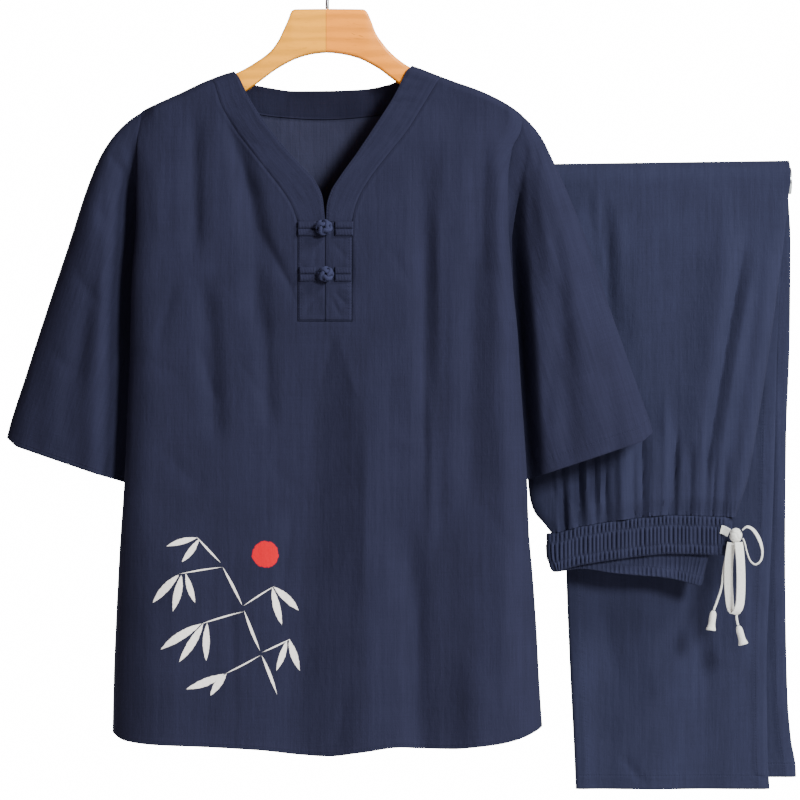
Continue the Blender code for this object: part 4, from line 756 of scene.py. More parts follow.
def armhole(side, z):
    """Half depth of the armhole."""
    middle = (side.top + side.under) / 2
    half = (side.top - side.under) / 2
    return ARMHOLE_HALF * np.sqrt(np.clip(1 - np.abs((z - middle) / half) ** 3, 0, None))


def body_edge(side, z):
    return BODY["left" if side.sign < 0 else "right"](z)


def turned_x(side, z, f):
    """X on a panel's turned edge, from its seam (f = 0) to the flat (1)."""
    angle = np.radians(lerp(-BODY["tuck"](z), 90, f))
    turned_in = body_edge(side, z) - side.sign * BODY["turn"](z) * (1 - np.cos(angle))
    at_top = side.end - side.sign * FAN_WIDTH * f
    return lerp(at_top, turned_in, smooth((side.top - FAN_START - z) / FAN_DROP))


def turned(side, face, z, f):
    """A point on a panel's turned edge."""
    tuck = np.radians(BODY["tuck"](z))
    angle = lerp(-tuck, math.pi / 2, f)
    share = (np.sin(angle) + np.sin(tuck)) / (1 + np.sin(tuck))
    x = turned_x(side, z, f)
    open_seam = SIDE_GAP * (1 - smooth(BODY["tuck"](z) / OPEN_TUCK)) * (1 - f)
    away = RIDGE_GAP + open_seam + lerp(armhole(side, z), depth(face, x, z), share)
    return placed(x, outward(face) * away, z)


def flat_x(x_at_placket, z):
    """X of a panel's column under the placket's foot, as the body widens."""
    ends = [turned_x(SIDES[s], PLACKET_LOW, 1.0) for s in ("left", "right")]
    share = (x_at_placket - ends[0]) / (ends[1] - ends[0])
    return lerp(turned_x(SIDES["left"], z, 1.0), turned_x(SIDES["right"], z, 1.0), share)


def finer(points, steps):
    """A smooth curve through the points, with steps between each two."""
    points = np.array(points, float)
    places = np.arange(len(points))
    at = np.linspace(0, len(points) - 1, (len(points) - 1) * steps + 1)
    return np.stack([through(list(zip(places, column)))(at) for column in points.T], axis=-1)


def moved_out(line, gap, clockwise):
    """A seam's other edge, at a gap."""
    line = np.array(line, float)
    along = np.concatenate((line[1:2] - line[:1], line[2:] - line[:-2], line[-1:] - line[-2:-1]))
    along /= np.linalg.norm(along, axis=1, keepdims=True)
    side = along[:, ::-1] * ((1, -1) if clockwise else (-1, 1))
    return line + side * gap


def over_ridge(x_top, x_low):
    """Points (x, z) of a line from the ridge to where the cloth has turned over the arm."""
    x = lerp(x_top, x_low, WRAP)
    return np.stack((x, RIDGE(x) - WRAP_DROP * WRAP), axis=-1)


def neck_line(hand, which, gap=0.0):
    """Points (x, z) down an edge of a front neckband, over the ridge and below it."""
    table = NECK[hand]
    sign = SIDES[hand].sign
    read_x, read_z = table[which + "_x"], table[which + "_z"]
    top = over_ridge(read_x(0.0) + sign * gap, read_x(0.1) + sign * gap)
    below = [tuple(top[-1])] + [(read_x(t), read_z(t)) for t in NECK_STEPS[1:]]
    moved = moved_out(below, gap, sign < 0)
    moved[0] = top[-1]
    return top, moved


def back_neck_line(which, gap=0.0):
    """Points (x, z) of an edge of the back neckband: over the left ridge, between, over the right."""
    read_x, read_z = BACK_NECK[which + "_x"], BACK_NECK[which + "_z"]
    ends = []
    for hand, s in (("left", 0.0), ("right", 1.0)):
        shift = SIDES[hand].sign * gap
        ends.append(over_ridge(NECK[hand][which + "_x"](0.0) + shift, read_x(s) + shift))
    between = [(read_x(s), read_z(s) - gap) for s in BACK_STEPS[1:-1]]
    return ends[0], np.array([ends[0][-1], *between, ends[1][-1]]), ends[1]


def along_rows(at):
    """Length along each row of a grid."""
    steps = np.linalg.norm(np.diff(at, axis=1), axis=2)
    return np.concatenate((np.zeros((len(at), 1)), np.cumsum(steps, axis=1)), axis=1)


def down_columns(at):
    """Length down each column of a grid."""
    return along_rows(at.swapaxes(0, 1)).swapaxes(0, 1)


def across(at, left, right):
    """The cloth's coordinate across a panel: x, or length round its turned columns."""
    u = at[..., 0].copy()
    long = along_rows(at)
    if left:
        u[:, :left] = u[:, left - 1:left] - (long[:, left - 1:left] - long[:, :left])
    if right:
        u[:, -right:] = u[:, -right:][:, :1] + (long[:, -right:] - long[:, -right:][:, :1])
    return u


Grid = namedtuple("Grid", "at coords marks")


def block(at, left=0, right=0, **marks):
    """A grid of points, its cloth coordinates and its marks, such as the distance to a hem."""
    return Grid(at, np.stack((across(at, left, right), at[..., 2]), axis=-1), marks)


def flipped(grid):
    """The grid with its columns the other way round."""
    marks = {name: mark[:, ::-1] for name, mark in grid.marks.items()}
    return Grid(grid.at[:, ::-1], grid.coords[:, ::-1], marks)


def hem_lift(away, line, width=HEM_SLOPE):
    """Relief of a turned-up hem: rolled at its edge, pulled in at its stitching."""
    edge = -HEM_ROLL * (1 - rounded(away / (3 * HEM_ROLL)))
    groove = -STITCH_DEEP * np.exp(-((away - line) / STITCH_HALF) ** 2)
    return edge + groove + HEM_THICK * smooth((line + width - away) / width)


def seam_lift(away):
    """Relief beside a seam: a dip, and a little puff next to it."""
    rolls = away / SEAM_ROLL
    return -SEAM_DIP * np.exp(-rolls) + SEAM_PUFF * np.exp(-(rolls - PUFF_AWAY) ** 2)


def select_only(obj):
    bpy.ops.object.select_all(action="DESELECT")
    obj.select_set(True)
    bpy.context.view_layer.objects.active = obj


def opened():
    """Edit mode with the whole of the active piece selected."""
    bpy.ops.object.mode_set(mode="EDIT")
    bpy.ops.mesh.select_all(action="SELECT")


def closed():
    bpy.ops.mesh.select_all(action="DESELECT")
    bpy.ops.object.mode_set(mode="OBJECT")


def faced_out():
    """Turns all faces outwards, then leaves edit mode."""
    bpy.ops.mesh.select_all(action="SELECT")
    bpy.ops.mesh.normals_make_consistent(inside=False)
    closed()


def started(primitive, **options):
    """A primitive to shape in edit mode, with nothing else selected."""
    bpy.ops.object.select_all(action="DESELECT")
    primitive(**options)
    bpy.ops.object.transform_apply(location=True, rotation=True, scale=True)
    opened()
    return bpy.context.object


def drawn_out(*move):
    bpy.ops.mesh.extrude_region_move(TRANSFORM_OT_translate={"value": move})


def picked(obj, test):
    """Selects the points whose place passes a test."""
    shape = bmesh.from_edit_mesh(obj.data)
    for point in shape.verts:
        point.select_set(test(point.co))
    shape.select_flush(True)
    shape.select_flush(False)
    bmesh.update_edit_mesh(obj.data)


def eased(obj, width):
    """Rounds the sharp edges of a hard piece and smooths the rest."""
    modifier = obj.modifiers.new("ease", "BEVEL")
    modifier.width = width * MM
    modifier.segments = EASE_STEPS
    modifier.limit_method = "ANGLE"
    modifier.angle_limit = math.radians(RIM_ANGLE)
    select_only(obj)
    bpy.ops.object.modifier_apply(modifier=modifier.name)
    bpy.ops.object.shade_smooth_by_angle(angle=math.radians(SMOOTH_ANGLE))


def finish_piece(obj, node):
    """Puts a piece on the only body, in place of its plain solid."""
    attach(obj, ROOT)
    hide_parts(node)
    return obj


def sewn(piece, slot, node, flat, held, *rests_on):
    """Finishes a piece of cloth."""
    finish_piece(piece, node)


def mesh_object(name, points, faces):
    mesh = bpy.data.meshes.new(name)
    mesh.from_pydata((np.asarray(points, float) * MM).tolist(), [], [tuple(face) for face in faces])
    obj = bpy.data.objects.new(name, mesh)
    bpy.context.collection.objects.link(obj)
    return obj


def add_mark(mesh, name, values):
    layer = mesh.attributes.new(name, "FLOAT", "POINT")
    layer.data.foreach_set("value", (np.concatenate([np.ravel(v) for v in values]) * MM).astype(np.float32))


def add_coords(mesh, coords, quads=0, periods=(FAR, FAR)):
    """The piece's own UV map. The first quads of a tube close up after each period of their coordinates."""
    corners = np.empty(len(mesh.loops), dtype=np.int32)
    mesh.loops.foreach_get("vertex_index", corners)
    uv = coords[corners]
    around = uv[:4 * quads].reshape(-1, 4, 2)
    around -= np.round((around - around[:, :1]) / periods) * periods
    layer = mesh.uv_layers.new(name=COORDS)
    layer.data.foreach_set("uv", (uv * MM).astype(np.float32).ravel())


def cloth(name, blocks, wall, looks, offset=-1.0):
    """A sheet of cloth through blocks of points, welded where they meet. Seen from outside, rows run down
    and columns to the right."""
    first = 0
    faces = []
    for grid in blocks:
        rows, columns = grid.at.shape[:2]
        ids = first + np.arange(rows * columns).reshape(rows, columns)
        first += rows * columns
        corners = (ids[:-1, :-1], ids[1:, :-1], ids[1:, 1:], ids[:-1, 1:])
        faces.append(np.stack(corners, axis=-1).reshape(-1, 4))
    points = np.concatenate([grid.at.reshape(-1, 3) for grid in blocks])
    obj = mesh_object(name, points, np.concatenate(faces).tolist())
    mesh = obj.data
    add_coords(mesh, np.concatenate([grid.coords.reshape(-1, 2) for grid in blocks]))
    for mark in MARKS:
        add_mark(mesh, mark, [grid.marks.get(mark, np.full(grid.at.shape[:2], FAR)) for grid in blocks])
    for look in looks:
        mesh.materials.append(look)
    select_only(obj)
    opened()
    bpy.ops.mesh.remove_doubles(threshold=WELD * MM)
    closed()
    thick = obj.modifiers.new("wall", "SOLIDIFY")
    thick.thickness = wall
    thick.offset = offset
    thick.material_offset = 1
    bpy.ops.object.modifier_apply(modifier=thick.name)
    mesh.shade_smooth()
    mesh.set_sharp_from_angle(angle=math.radians(RIM_ANGLE))
    return obj


def ring_faces(rings, count, closed_loop):
    """Quads between rings of a tube, each of count points."""
    faces = []
    for i in range(rings if closed_loop else rings - 1):
        this, after = i * count, (i + 1) % rings * count
        for j in range(count):
            k = (j + 1) % count
            faces.append((this + j, this + k, after + k, after + j))
    return faces


def tube(name, rings, coords, look, closed_loop=False, periods=(FAR, FAR), **marks):
    """A solid through rings of points. coords come round again after their periods."""
    rings = np.asarray(rings, float)
    total, count = rings.shape[:2]
    faces = ring_faces(total, count, closed_loop)
    quads = len(faces)
    if not closed_loop:
        faces += [tuple(reversed(range(count))), tuple((total - 1) * count + j for j in range(count))]
    obj = mesh_object(name, rings.reshape(-1, 3), faces)
    add_coords(obj.data, np.asarray(coords, float).reshape(-1, 2), quads, np.array(periods))
    for mark, values in marks.items():
        add_mark(obj.data, mark, values)
    obj.data.materials.append(look)
    select_only(obj)
    opened()
    faced_out()
    obj.data.shade_smooth()
    obj.data.set_sharp_from_angle(angle=math.radians(RIM_ANGLE))
    return obj


def lengths_along(line):
    """Length along a line at each of its points."""
    return np.concatenate(([0.0], np.cumsum(np.linalg.norm(np.diff(line, axis=0), axis=1))))


def section_round(count, half_wide, half_thick, power=2.0):
    """Points round a section: an ellipse, or a fuller shape where power is above 2."""
    angles = np.arange(count) * 2 * math.pi / count
    x, y = np.cos(angles), np.sin(angles)
    return np.stack((
        half_wide * np.sign(x) * np.abs(x) ** (2 / power),
        half_thick * np.sign(y) * np.abs(y) ** (2 / power),
    ), axis=-1)


def smooth_route(route, count):
    """Points at even steps on a smooth curve through the route's points."""
    knots = [Vector(p) for p in route]
    ends = [knots[0] * 2 - knots[1], *knots, knots[-1] * 2 - knots[-2]]
    fine = []
    for a, b, c, d in zip(ends, ends[1:], ends[2:], ends[3:]):
        for k in range(ROUTE_STEPS):
            t = k / ROUTE_STEPS
            fine.append(0.5 * (2 * b + (c - a) * t + (2 * a - 5 * b + 4 * c - d) * t * t
                               + (3 * b - a - 3 * c + d) * t ** 3))
    fine = np.array([*fine, knots[-1]])
    lengths = lengths_along(fine)
    at = np.linspace(0, lengths[-1], count)
    return np.stack([np.interp(at, lengths, fine[:, k]) for k in range(3)], axis=-1)


def frames_along(line, width, turns=(0.0, 0.0)):
    """Directions across and out of a tape along its line, whose width turns by the degrees in turns."""
    turn = through([(i / (len(turns) - 1), degrees) for i, degrees in enumerate(turns)])
    points = [Vector(p) for p in line]
    along = (points[1] - points[0]).normalized()
    side = Vector(width)
    frames = []
    for i in range(len(points)):
        ahead = (points[min(i + 1, len(points) - 1)] - points[max(i - 1, 0)]).normalized()
        side = along.rotation_difference(ahead) @ side
        side = (side - ahead * side.dot(ahead)).normalized()
        along = ahead
        over = Quaternion(along, math.radians(float(turn(i / (len(points) - 1))))) @ side
        frames.append((over, along.cross(over)))
    return frames


def swept(line, frames, section):
    """Rings of a section carried along a line."""
    return line[:, None] + section @ np.array(frames)


class Field:
    """A number that varies over a surface: its sums, products and powers are Math nodes."""

    def __init__(self, look, socket):
        self.look = look
        self.socket = socket

    def maths(self, operation, *others):
        node = self.look.node("ShaderNodeMath", {"operation": operation}, dict(enumerate((self, *others))))
        return Field(self.look, node.outputs[0])

    __add__ = __radd__ = partialmethod(maths, "ADD")
    __sub__ = partialmethod(maths, "SUBTRACT")
    __rsub__ = partialmethod(maths, "MULTIPLY_ADD", -1.0)
    __mul__ = __rmul__ = partialmethod(maths, "MULTIPLY")
    __pow__ = partialmethod(maths, "POWER")
    __abs__ = partialmethod(maths, "ABSOLUTE")
    sine = partialmethod(maths, "SINE")
    least = partialmethod(maths, "MINIMUM")
    most = partialmethod(maths, "MAXIMUM")

    def rise(self, low, high):
        """A smooth step from 0 where the field is low to 1 where it is high."""
        values = {"Value": self, "From Min": low, "From Max": high}
        node = self.look.node("ShaderNodeMapRange", {"interpolation_type": "SMOOTHSTEP"}, values)
        return Field(self.look, node.outputs["Result"])


class Look:
    """A material. Constants are set straight on the shader's sockets, and nodes vary the rest."""

    def __init__(self, name, constants):
        self.material = bpy.data.materials.new(name)
        self.material.use_nodes = True
        self.tree = self.material.node_tree
        self.shader = self.tree.nodes["Principled BSDF"]
        for socket, value in constants.items():
            self.shader.inputs[socket].default_value = value

    def node(self, kind, settings, values):
        """Any node, with its settings and its sockets' values or links."""
        made = self.tree.nodes.new(kind)
        for key, value in settings.items():
            setattr(made, key, value)
        for key, value in values.items():
            self.put(value, made.inputs[key])
        return made

    def put(self, value, socket):
        if isinstance(value, Field):
            self.tree.links.new(value.socket, socket)
        elif isinstance(value, bpy.types.NodeSocket):
            self.tree.links.new(value, socket)
        else:
            socket.default_value = value

    def coords(self):
        """The piece's own UV map, in metres of cloth."""
        return self.node("ShaderNodeUVMap", {"uv_map": COORDS}, {}).outputs["UV"]

    def place(self):
        """The place on the suit, in metres."""
        return self.node("ShaderNodeTexCoord", {}, {}).outputs["Object"]

    def axes(self, vector):
        made = self.node("ShaderNodeSeparateXYZ", {}, {"Vector": vector})
        return [Field(self, socket) for socket in made.outputs]

    def mark(self, name):
        made = self.node("ShaderNodeAttribute", {"attribute_name": name}, {})
        return Field(self, made.outputs["Fac"])

    def scaled(self, vector, scale):
        made = self.node("ShaderNodeVectorMath", {"operation": "MULTIPLY"}, {0: vector, 1: scale})
        return made.outputs["Vector"]

    def noise(self, vector, size, detail=2.0, roughness=0.5, distortion=0.0):
        """Noise from 0 to 1, its grains about size metres along each axis."""
        values = {
            "Vector": self.scaled(vector, tuple(1 / s for s in size)),
            "Scale": 1.0, "Detail": detail, "Roughness": roughness, "Distortion": distortion,
        }
        return Field(self, self.node("ShaderNodeTexNoise", {}, values).outputs["Fac"])

    def mix(self, factor, a, b):
        """A colour between a and b."""
        a, b = (end if isinstance(end, bpy.types.NodeSocket) else (*end, 1.0) for end in (a, b))
        settings = {"data_type": "RGBA", "clamp_factor": True}
        return self.node("ShaderNodeMix", settings, {0: factor, 6: a, 7: b}).outputs[2]

    def finish(self, colour, roughness, height):
        """Links what varies. Height is the surface's relief in metres."""
        self.put(colour, self.shader.inputs["Base Color"])
        self.put(roughness, self.shader.inputs["Roughness"])
        if height is not None:
            bump = self.node("ShaderNodeBump", {}, {"Strength": 1.0, "Distance": 1.0, "Height": height})
            self.put(bump.outputs["Normal"], self.shader.inputs["Normal"])
        return self.material


def shade(colour, factor):
    return tuple(c * factor for c in colour)


def plain_weave(u, v, pitch):
    """Threads over and under each other: 1 on top of one, 0 between."""
    warp, weft = (u * (math.pi / pitch)).sine(), (v * (math.pi / pitch)).sine()
    over = (warp * weft * 1.6).most(-1.0).least(1.0) * 0.5 + 0.5
    return abs(warp) * over + abs(weft) * (1 - over)


def stitches(along, away, line, length):
    """A row of stitches beside an edge: the groove it pulls, and its thread."""
    beside = abs(away - line * MM)
    groove = 1 - beside.rise(0.0, 0.0011)
    dash = (along * (2 * math.pi / length)).sine().rise(-0.55, 0.1)
    thread = (1 - beside.rise(0.00025, 0.00045)) * dash
    return groove, thread


def linen(name, colour, sizes, lines=(), ditches=(), art=None):
    """Slubby linen. lines are rows of stitches as (mark, distance from it, axis that they run along), and
    ditches are marks whose seam holds a shadow."""
    look = Look(name, {
        "Sheen Weight": 0.05, "Sheen Roughness": 0.5, "Sheen Tint": (*shade(colour, 6), 1.0),
        "Specular IOR Level": 0.06,
    })
    coords = look.coords()
    u, v, _ = look.axes(coords)
    slub = look.noise(coords, (0.0012, 0.05, 1), detail=3, roughness=0.6)
    broad = look.noise(coords, (0.0055, 0.2, 1), detail=2)
    weft = look.noise(coords, (0.045, 0.0012, 1), detail=2)
    mottle = look.noise(coords, (0.03, 0.05, 1), detail=3)
    crepe = look.noise(coords, (0.0042, 0.011, 1), detail=3, roughness=0.55)
    grain = look.noise(coords, (0.0008, 0.0013, 1), detail=2, roughness=0.6)
    tone = slub * 0.27 + broad * 0.17 + weft * 0.12 + mottle * 0.2 + grain * 0.24
    base = look.mix(tone.rise(0.32, 0.68), shade(colour, 0.8), shade(colour, 1.22))
    weave = plain_weave(u, v, sizes.thread)
    height = weave * 0.00005 + slub * 0.00009 + weft * 0.00005 + crepe * 0.0005 + broad * 0.0002
    for mark, line, axis in lines:
        along = (u, v)[axis]
        groove, thread = stitches(along, look.mark(mark), line, sizes.stitch)
        near = 1 - abs(look.mark(mark) - line * MM).rise(0.001, 0.007)
        grain = (0.0035, 0.03, 1) if axis == 0 else (0.03, 0.0035, 1)
        pucker = look.noise(coords, grain, detail=1)
        height = height - groove * 0.00016 + thread * 0.00012 + pucker * near * 0.0005
        # Painted shade: the colour is darkened in each stitch groove.
        base = look.mix(groove * 0.35, base, shade(colour, 0.5))
        base = look.mix(thread * 0.8, base, shade(colour, 1.35))
    for mark in ditches:
        dark = 1 - look.mark(mark).rise(0.0, 0.0009)
        base = look.mix(dark * 0.6, base, shade(colour, 0.35))
    rough = 0.86 + slub * 0.1
    if art:
        base, height = art(look, base, height)
    return look.finish(base, rough, height)


def strokes(x, z, table):
    """How far inside the nearest leaf-shaped stroke a point is."""
    inside = None
    for row in table:
        run = np.array((row.to_x - row.x, row.to_z - row.z), float) * MM
        long = float(np.hypot(*run))
        dx, dz = run / long
        mid_x, mid_z = (row.x + row.to_x) / 2 * MM, (row.z + row.to_z) / 2 * MM
        along = (x * float(dx) + z * float(dz) - float(mid_x * dx + mid_z * dz)) * (2 / long)
        side = (x * float(dz) - z * float(dx) - float(mid_x * dz - mid_z * dx)) * (2 / (row.width * MM))
        blade = 1 - along * along - abs(side - (1 - along * along) * row.bend)
        inside = blade if inside is None else inside.most(blade)
    return inside


def printed(colours):
    """A brushed sprig of leaves by a red sun."""
    def art(look, base, height):
        place = look.place()
        x, _, z = look.axes(place)
        fray = look.noise(place, (0.004, 0.004, 0.004), detail=3) - 0.5
        dry = look.noise(place, (0.0009, 0.0009, 0.0009), detail=2)
        leaves = strokes(x, z, SPRIG) + fray * 0.35
        ink = leaves.rise(0.02, 0.12) * (1 - (dry.rise(0.58, 0.75) * (1 - leaves.rise(0.05, 0.45))))
        gap_x, gap_z = x - SUN["x"] * MM, z - SUN["z"] * MM
        far = (gap_x * gap_x + gap_z * gap_z) ** 0.5
        sun = 1 - (far + fray * 0.004).rise((SUN["radius"] - 0.7) * MM, (SUN["radius"] + 0.4) * MM)
        base = look.mix(sun * 0.95, base, colours.sun)
        base = look.mix(ink, base, colours.ink)
        return base, height + ink.most(sun) * 0.00012
    return art


def wood(name, colour):
    """Varnished beech with a few dark scratches."""
    look = Look(name, {"Specular IOR Level": 0.25, "Coat Weight": 0.12, "Coat Roughness": 0.18})
    place = look.place()
    x, _, z = look.axes(place)
    wander = look.noise(place, (0.09, 0.02, 0.02), detail=2)
    bands = look.noise(place, (0.16, 0.0035, 0.0042), detail=4, roughness=0.6, distortion=0.4)
    flecks = look.noise(place, (0.009, 0.0006, 0.0009), detail=2)
    rings = ((z * 520 + wander * 7).sine() * 0.5 + 0.5) * 0.35 + bands * 0.65
    base = look.mix(rings.rise(0.25, 0.75), shade(colour, 0.86), shade(colour, 1.1))
    base = look.mix(flecks.rise(0.6, 0.72) * 0.4, base, shade(colour, 0.6))
    scratch = look.noise(place, (0.03, 0.001, 0.0011), detail=1)
    worn = look.noise(place, (0.02, 0.02, 0.02), detail=2)
    scratch = scratch.rise(0.7, 0.76) * worn.rise(0.5, 0.6)
    scratch = scratch.most(strokes(x, z, SCRATCHES).rise(0.0, 0.3))
    base = look.mix(scratch * 0.6, base, shade(colour, 0.3))
    height = bands * 0.00008 - flecks * 0.00003 - scratch * 0.0001
    return look.finish(base, 0.32 + bands * 0.16 + scratch * 0.2, height)


def metal(name, colour, drawn):
    """Polished steel. drawn is the grain of its drawing lines."""
    look = Look(name, {"Metallic": 1.0})
    place = look.place()
    lines = look.noise(place, drawn, detail=3)
    rubbed = look.noise(place, (0.012, 0.012, 0.012), detail=3)
    base = look.mix(rubbed.rise(0.35, 0.7), shade(colour, 0.82), colour)
    return look.finish(base, 0.16 + lines * 0.14 + rubbed * 0.1, lines * 0.00002)


def cotton(name, colour, rib):
    """Soft cotton, with ribs across the map."""
    look = Look(name, {"Sheen Weight": 0.2, "Sheen Roughness": 0.5, "Specular IOR Level": 0.25})
    coords = look.coords()
    u, v, _ = look.axes(coords)
    ribs = abs((u * (math.pi / rib) + (v * (math.pi / rib)).sine() * 0.35).sine())
    weft = abs((v * (math.pi / (rib * 0.8))).sine())
    fuzz = look.noise(coords, (0.0012, 0.0025, 1), detail=4, roughness=0.65)
    worn = look.noise(coords, (0.01, 0.03, 1), detail=2)
    base = look.mix(fuzz.rise(0.25, 0.7), shade(colour, 0.84), shade(colour, 1.06))
    # Painted shade: the colour is darkened in the hollows between the ribs.
    base = look.mix((1 - ribs) * 0.25, base, shade(colour, 0.6))
    base = look.mix(worn.rise(0.55, 0.8) * 0.2, base, shade(colour, 0.75))
    height = ribs * 0.00014 + weft * 0.00007 + fuzz * 0.0002
    return look.finish(base, 0.82 + fuzz * 0.12, height)


def floor_look(colour):
    look = Look("studio_floor", {"Specular IOR Level": 0.1})
    grain = look.noise(look.place(), (0.4, 0.4, 0.4), detail=3)
    return look.finish(look.mix(grain, shade(colour, 0.97), shade(colour, 1.02)), 0.85 + grain * 0.1, None)


def row_shares(count):
    return (np.arange(count + 1) / count)[:, None] ** ROW_SPREAD


def ridge_foot(side):
    """Height of the ridge over each turned column of a panel."""
    return RIDGE(side.end - side.sign * FAN_WIDTH * TURN)


def shoulder_x(side, corner, share, z):
    """X of a column between a panel's turned edge (share 0) and the corner of its neck (1), whose own column
    is three points (x, z)."""
    heights = np.array(corner)[::-1]
    return lerp(turned_x(side, z, 1.0), np.interp(z, heights[:, 1], heights[:, 0]), share)


def on_shoulder(side, corner, share, drop):
    """X and z of those columns at a drop below the ridge."""
    x = lerp(side.end - side.sign * FAN_WIDTH, corner[0][0], share)
    for _ in range(4):
        z = RIDGE(x) - drop
        x = shoulder_x(side, corner, share, z)
    return x, z


def beside_neck(side, face, corner, share, shares):
    """A panel from below its ridge to the placket's foot, between the armhole and the neck's corner."""
    edge = turned(side, face, lerp(ridge_foot(side) - WRAP_DROP, PLACKET_LOW, shares), TURN)
    z = lerp(on_shoulder(side, corner, share, WRAP_DROP)[1], PLACKET_LOW, shares)
    return np.concatenate((edge, outside(face, shoulder_x(side, corner, share, z), z)), axis=1)


def under_neck(face, neck, low, shares):
    """A panel's columns from the neck's seam to x = low at the placket's foot, and their distance from it."""
    top = neck[:, 1]
    z = lerp(top, PLACKET_LOW, shares)
    return outside(face, lerp(neck[:, 0], low, (top - z) / (top - PLACKET_LOW)), z), seam_distance(neck, z)


def ridge_block(side, face, corner, share, seam):
    """A panel from the ridge to where it has turned over the arm."""
    drops = WRAP_DROP * WRAP[:, None]
    edge = turned(side, face, ridge_foot(side) - drops, TURN)
    flat = outside(face, *on_shoulder(side, corner, share, drops))
    last = outside(face, seam[:, 0], seam[:, 1])[:, None]
    at = np.concatenate((edge, flat, last), axis=1)
    near = np.abs(at[..., 0] - at[:, -1:, 0])
    at[..., 1] += outward(face) * seam_lift(near)
    return block(at, left=len(TURN), seam=near)


def lower_block(face, lows):
    """A panel from the placket's foot to the hem, left to right."""
    hem = HEM[face]
    shares = LOWER_SHARES[:, None]
    parts = []
    for hand, f in (("left", TURN), ("right", TURN[::-1])):
        z = lerp(PLACKET_LOW, hem(turned_x(SIDES[hand], HEM_LINE, f)), shares)
        parts.append((turned(SIDES[hand], face, z, f), z))
    z = lerp(PLACKET_LOW, hem(flat_x(lows, HEM_LINE)), shares)
    parts.insert(1, (outside(face, flat_x(lows, z), z), z))
    at = np.concatenate([part for part, _ in parts], axis=1)
    heights = np.concatenate([z for _, z in parts], axis=1)
    away = heights - heights[-1:]
    at[..., 1] += outward(face) * hem_lift(away, HEM_STITCH)
    return block(at, left=len(TURN), right=len(TURN), hem=away)


def placket_distance(at):
    """Distance from the placket's outline."""
    beside = np.maximum(PLACKET_LEFT - at[..., 0], at[..., 0] - PLACKET_RIGHT)
    under = np.maximum(PLACKET_LOW - at[..., 2], at[..., 2] - PLACKET_TOP)
    return np.hypot(np.clip(beside, 0, None), np.clip(under, 0, None))


def seam_distance(line, z):
    """Distance of columns at heights z from the seam's line that they start on."""
    along = np.gradient(line, axis=0)
    return (line[:, 1] - z) * np.abs(along[:, 0]) / np.linalg.norm(along, axis=1)


def front_blocks():
    blocks = []
    lows = {}
    for hand, side in SIDES.items():
        notch = PLACKET_LEFT if hand == "left" else PLACKET_RIGHT
        over, below = neck_line(hand, "outer", NECK_GAP)
        below[-1] = (notch, PLACKET_TOP)
        neck = finer(below, FRONT_STEPS)
        count = 2 + len(below) - 1
        places = np.arange(1, count * FRONT_STEPS + 1) / FRONT_STEPS
        low = lerp(turned_x(side, PLACKET_LOW, 1.0), notch, places / count)
        shoulder = places < 2
        share = places[shoulder] / 2
        corner = (over[0], neck[0], (low[~shoulder][0], PLACKET_LOW))
        top = ridge_block(side, "front", corner, share, over)
        shares = row_shares(FRONT_ROWS)
        beside = beside_neck(side, "front", corner, share, shares)
        inner, near = under_neck("front", neck, low[~shoulder], shares)
        near = np.minimum(near, placket_distance(inner))
        near = np.concatenate((near[:, :1] + np.abs(beside[..., 0] - inner[:, :1, 0]), near), axis=1)
        at = np.concatenate((beside, inner), axis=1)
        at[..., 1] -= seam_lift(near)
        upper = block(at, left=len(TURN), seam=near)
        for grid in (top, upper):
            blocks.append(grid if hand == "left" else flipped(grid))
        lows[hand] = low
    foot = np.linspace(PLACKET_LEFT, PLACKET_RIGHT, NOTCH_COLUMNS + 1)[1:-1]
    lower = lower_block("front", np.concatenate((lows["left"], foot, lows["right"][::-1])))
    near = placket_distance(lower.at)
    lower.at[..., 1] -= seam_lift(near)
    lower.marks["seam"] = near
    return [*blocks, lower]


def back_blocks():
    over_left, between, over_right = back_neck_line("outer", NECK_GAP)
    neck = finer(between, BACK_FINE)
    count = len(between) + 3
    places = np.arange(1, count * BACK_FINE) / BACK_FINE
    ends = [turned_x(SIDES[s], PLACKET_LOW, 1.0) for s in ("left", "right")]
    low = lerp(ends[0], ends[1], places / count)
    shares = row_shares(BACK_ROWS)
    parts = {}
    tops = {}
    middle = (places >= 2) & (places <= count - 2)
    share = places[places < 2] / 2
    for hand, over, end in (("left", over_left, 0), ("right", over_right, -1)):
        side = SIDES[hand]
        corner = (over[0], neck[end], (low[middle][end], PLACKET_LOW))
        tops[hand] = ridge_block(side, "back", corner, share, over)
        parts[hand] = beside_neck(side, "back", corner, share, shares)
    inner, near = under_neck("back", neck, low[middle], shares)
    left, right = parts["left"], parts["right"][:, ::-1]
    near = np.concatenate((
        near[:, :1] + np.abs(left[..., 0] - inner[:, :1, 0]), near,
        near[:, -1:] + np.abs(right[..., 0] - inner[:, -1:, 0]),
    ), axis=1)
    at = np.concatenate((left, inner, right), axis=1)
    at[..., 1] += seam_lift(near)
    upper = block(at, left=len(TURN), right=len(TURN), seam=near)
    lower = lower_block("back", low)
    return [flipped(tops["left"]), flipped(upper), flipped(lower), tops["right"]]


def strip(at, **marks):
    """A grid whose cloth coordinates are measured along it and down it."""
    return Grid(at, np.stack((along_rows(at), -down_columns(at)), axis=-1), marks)


def across_width(at):
    """Distance from both ends of a band's row."""
    long = along_rows(at)
    return long, long[:, -1:] - long


